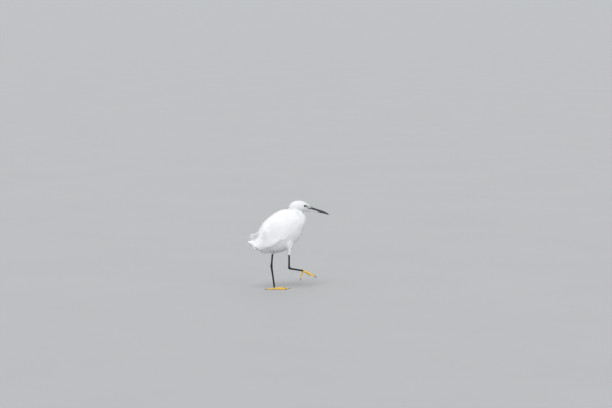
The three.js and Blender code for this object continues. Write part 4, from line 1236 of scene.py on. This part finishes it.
def smooth_path(stations, spacing):
    """Places and radii at even steps along rounded straight stretches; stations are (point, deep, wide)."""
    rows = np.array([[*at, deep, wide] for at, deep, wide in stations])
    length = np.concatenate([[0], np.cumsum(norm(np.diff(rows[:, :3], axis=0), axis=1))])
    d = np.arange(0, length[-1] + spacing / 2, spacing)
    path = np.stack([np.interp(d, length, column) for column in rows.T], -1)
    for _ in range(int(3.0 / spacing) ** 2):
        path[1:-1] = path[1:-1] * 0.5 + (path[:-2] + path[2:]) * 0.25
    return path[:, :3], path[:, 3:], d


def leg_tube(name):
    """Bare shank, ankle and tarsus as one form with plates in front and small scales behind."""
    top, ankle, hub = (np.array(at, float) for at in (THIGHS[name][-1][0], ANKLES[name], HUBS[name]))
    down, along = unit(ankle - top), unit(hub - ankle)
    foot = hub - along * (2.0 if name == "left" else 3.0)
    stations = [
        (top - down * 7, 3.7, 3.5),
        (top, 3.7, 3.5),
        ((top + ankle) / 2, 3.5, 3.2),
        (ankle - down * 9, 3.9, 3.6),
        (ankle - down * 3.5, 5.0, 4.3),
        (ankle + along * 3.5, 5.0, 4.0),
        (ankle + along * 10, 4.0, 3.1),
        ((ankle + foot) / 2, 3.6, 2.9),
        (foot - along * 8, 3.7, 3.1),
        (foot, 4.0, 3.6),
    ]
    path, size, d = smooth_path(stations, 0.5)
    turn = ring_turns(28)
    front = (np.cos(turn) > 0.15) * np.ones((len(d), 1))
    row = d[:, None] / LEG_PLATE
    plate = np.abs(row - np.floor(row) - 0.5) * 2
    crease = ease(plate, 0.8, 1.0) * front
    cells = np.clip(np.sin(row * 2 * math.pi * 1.1) * np.sin(turn * 9), 0, 1) * (1 - front)
    rise = -0.2 * crease + 0.1 * cells + 0.06 * (1 - plate) * front
    points, quads, fans = tube(rings_along(path, size[:, :1] + rise, size[:, 1:] + rise, turn) * MM)
    marks = {"crease": np.append(crease * 0.5, [0, 0]), "dusk": np.zeros(len(points))}
    return mesh_of("leg_" + name, points, quads, fans, marks=marks)


def toe_path(name, toe, count):
    """Middle points and radii of a toe, from the hub outwards, with a swelling at each joint."""
    label, length, degrees, radius = toe
    reach = np.linspace(0, length, count)
    t = reach / length
    joints = 2 if label == "hind" else 3
    size = (radius + (TOE_TIP_RADIUS - radius) * t) * (1 + 0.1 * np.cos(t * joints * 2 * math.pi))
    if name == "left":
        turn = math.radians(degrees)
        arch = 0.275 * np.sin(t * math.pi * joints) ** 2
        return xyz(math.cos(turn) * reach, math.sin(turn) * reach, size - TOE_FLAT + arch), size
    aim, droop = RAISED_TOES[label]
    at = np.array(HUBS[name]) + unit(np.array(aim)) * reach[:, None]
    at[:, 2] -= droop * reach * t
    return at, size


def toe_hint(tip):
    """A direction across a toe that isn't near the way it points."""
    return UPWARD if abs(tip[2]) < 0.8 else np.array([1.0, 0.0, 0.0])


def foot_mesh(name):
    """Hub and four toes as one skin, with a row of plates over each toe and pads below."""
    standing = name == "left"
    hub = np.array(HUBS[name], float)
    turn = ring_turns(20)
    parts, lines = [], []
    for toe in TOES:
        at, size = toe_path(name, toe, 40)
        tip = unit(at[-1] - at[-2])
        at = np.concatenate([at, at[-1:] + tip * 0.8])
        size = np.append(size, size[-1] * 0.75)[:, None]
        parts.append(tube(rings_along(at, size, size, turn, toe_hint(tip)) * MM))
        lines.append((at, np.concatenate([[0], np.cumsum(norm(np.diff(at, axis=0), axis=1))])))
    along = unit(hub - np.array(ANKLES[name], float))
    lean = unit(np.array([0.1, 0, -1] if standing else [0.8, 0.4, -0.6], float))
    path = np.array([hub - along * 5, hub - along, hub + lean * 2, hub + lean * 3.8])
    size = np.array([[3.5], [4.2], [4.3], [3.6]])
    parts.append(tube(rings_along(path, size, size, turn) * MM))
    points, quads, normals = fused(parts, TOE_VOXEL, TOE_ROUNDS)
    flat = points / MM
    crease, top, best = np.zeros(len(points)), np.ones(len(points)), np.full(len(points), 1e9)
    upward = UPWARD if standing else unit(np.array([0.3, 0.2, 1.0]))
    for at, reach in lines:
        gaps = norm(flat[:, None] - at[None], axis=2)
        near, closest = gaps.argmin(1), gaps.min(1)
        step = flat - at[near]
        row = (reach[near] + (step * unit(np.gradient(at, axis=0))[near]).sum(1)) / TOE_PLATE
        plate = np.abs(row - np.floor(row) - 0.5) * 2
        better = closest < best
        crease = np.where(better, ease(plate, 0.72, 1.0) * (reach[near] > 5), crease)
        top = np.where(better, ease((unit(step) * upward).sum(1), -0.1, 0.35), top)
        best = np.minimum(best, closest)
    points = points + normals * col((0.1 - 0.26 * crease) * top * MM)
    if standing:
        points[:, 2] = np.maximum(points[:, 2], 0.0)
    away = norm(flat - (hub - along * 5), axis=1)
    marks = {"crease": crease * top, "dusk": 1 - ease(away, 2.6, 4.6)}
    return mesh_of("foot_skin_" + name, points, quads, marks=marks)


def claw_mesh(name, toe):
    """A curved claw, from inside the tip of its toe."""
    at, _ = toe_path(name, toe, 12)
    ahead = unit(at[-1] - at[-2])
    t = np.linspace(0, 1, 22)
    floor, fall = (0.3, 1.5) if name == "left" else (-1e9, 2.1)
    path = at[-1] - ahead * 0.4 + ahead * (t * 10.6)[:, None]
    radius = 1.55 * (1 - t) ** 0.75 + 0.16
    path[:, 2] += 0.9 * np.sin(t * math.pi * 0.75) - fall * t**2
    path[:, 2] = np.maximum(path[:, 2], radius * 0.9 + floor)
    radius = radius[:, None]
    rings = rings_along(path, radius * 0.82, radius, ring_turns(16), toe_hint(ahead))
    points, quads, fans = tube(rings * MM)
    marks = {"pale": np.append(np.repeat(ease(t, 0.6, 1.0), 16), [0, 1])}
    return mesh_of(f"claw_horn_{toe[0]}_{name}", points, quads, fans, marks=marks)


for _, name in SIDES:
    piece(leg_tube(name), LEG, ["shank_" + name, "tarsus_" + name])
    piece(foot_mesh(name), TOE, ["foot_" + name] + [f"toe_{toe[0]}_{name}" for toe in TOES])
    for toe in TOES:
        piece(claw_mesh(name, toe), CLAW, [f"claw_{toe[0]}_{name}"])


# Stage, light and camera

FLOOR_HALF = 400.0
FLOOR_DROP = 0.0002
SKY_COLOUR = (0.95, 0.97, 1.0, 1)
SKY_STRENGTH = 0.86
# Soft lights: where each comes from, how strong it is and how many degrees across
LIGHTS = {
    "key": ((-0.45, -0.75, 1.3), 1.4, 30),
    "fill": ((0.35, -1.0, 0.08), 1.1, 70),
    "rim": ((0.3, 0.9, 0.9), 0.4, 50),
}
CAMERA_AT = (-2.33292745, -8.70660379, 1.25)
CAMERA_TILT, CAMERA_HEADING = 84.3316, -15.8276  # degrees
LENS, SENSOR = 128.99, 36

corners = np.array([[-1, -1, 0], [1, -1, 0], [1, 1, 0], [-1, 1, 0]], float) * FLOOR_HALF
floor = linked("floor", mesh_of("floor", corners - [0, 0, FLOOR_DROP], [[0, 1, 2, 3]]))
floor.data.materials.append(floor_material())

world = bpy.data.worlds.new("studio")
world.use_nodes = True
sky = world.node_tree.nodes["Background"].inputs
sky[0].default_value = SKY_COLOUR
sky[1].default_value = SKY_STRENGTH
bpy.context.scene.world = world
for name, (toward, strength, degrees) in LIGHTS.items():
    light = bpy.data.lights.new(name, "SUN")
    light.energy = strength
    light.angle = math.radians(degrees)
    linked(name, light).rotation_euler = Vector(toward).to_track_quat("Z", "Y").to_euler()

camera_data = bpy.data.cameras.new("camera")
camera_data.lens = LENS
camera_data.sensor_width = SENSOR
camera_data.clip_end = 2000
camera = linked("camera", camera_data)
camera.location = CAMERA_AT
camera.rotation_euler = (math.radians(CAMERA_TILT), 0, math.radians(CAMERA_HEADING))
bpy.context.scene.camera = camera
bpy.context.scene.view_settings.view_transform = "Standard"

bpy.context.view_layer.update()
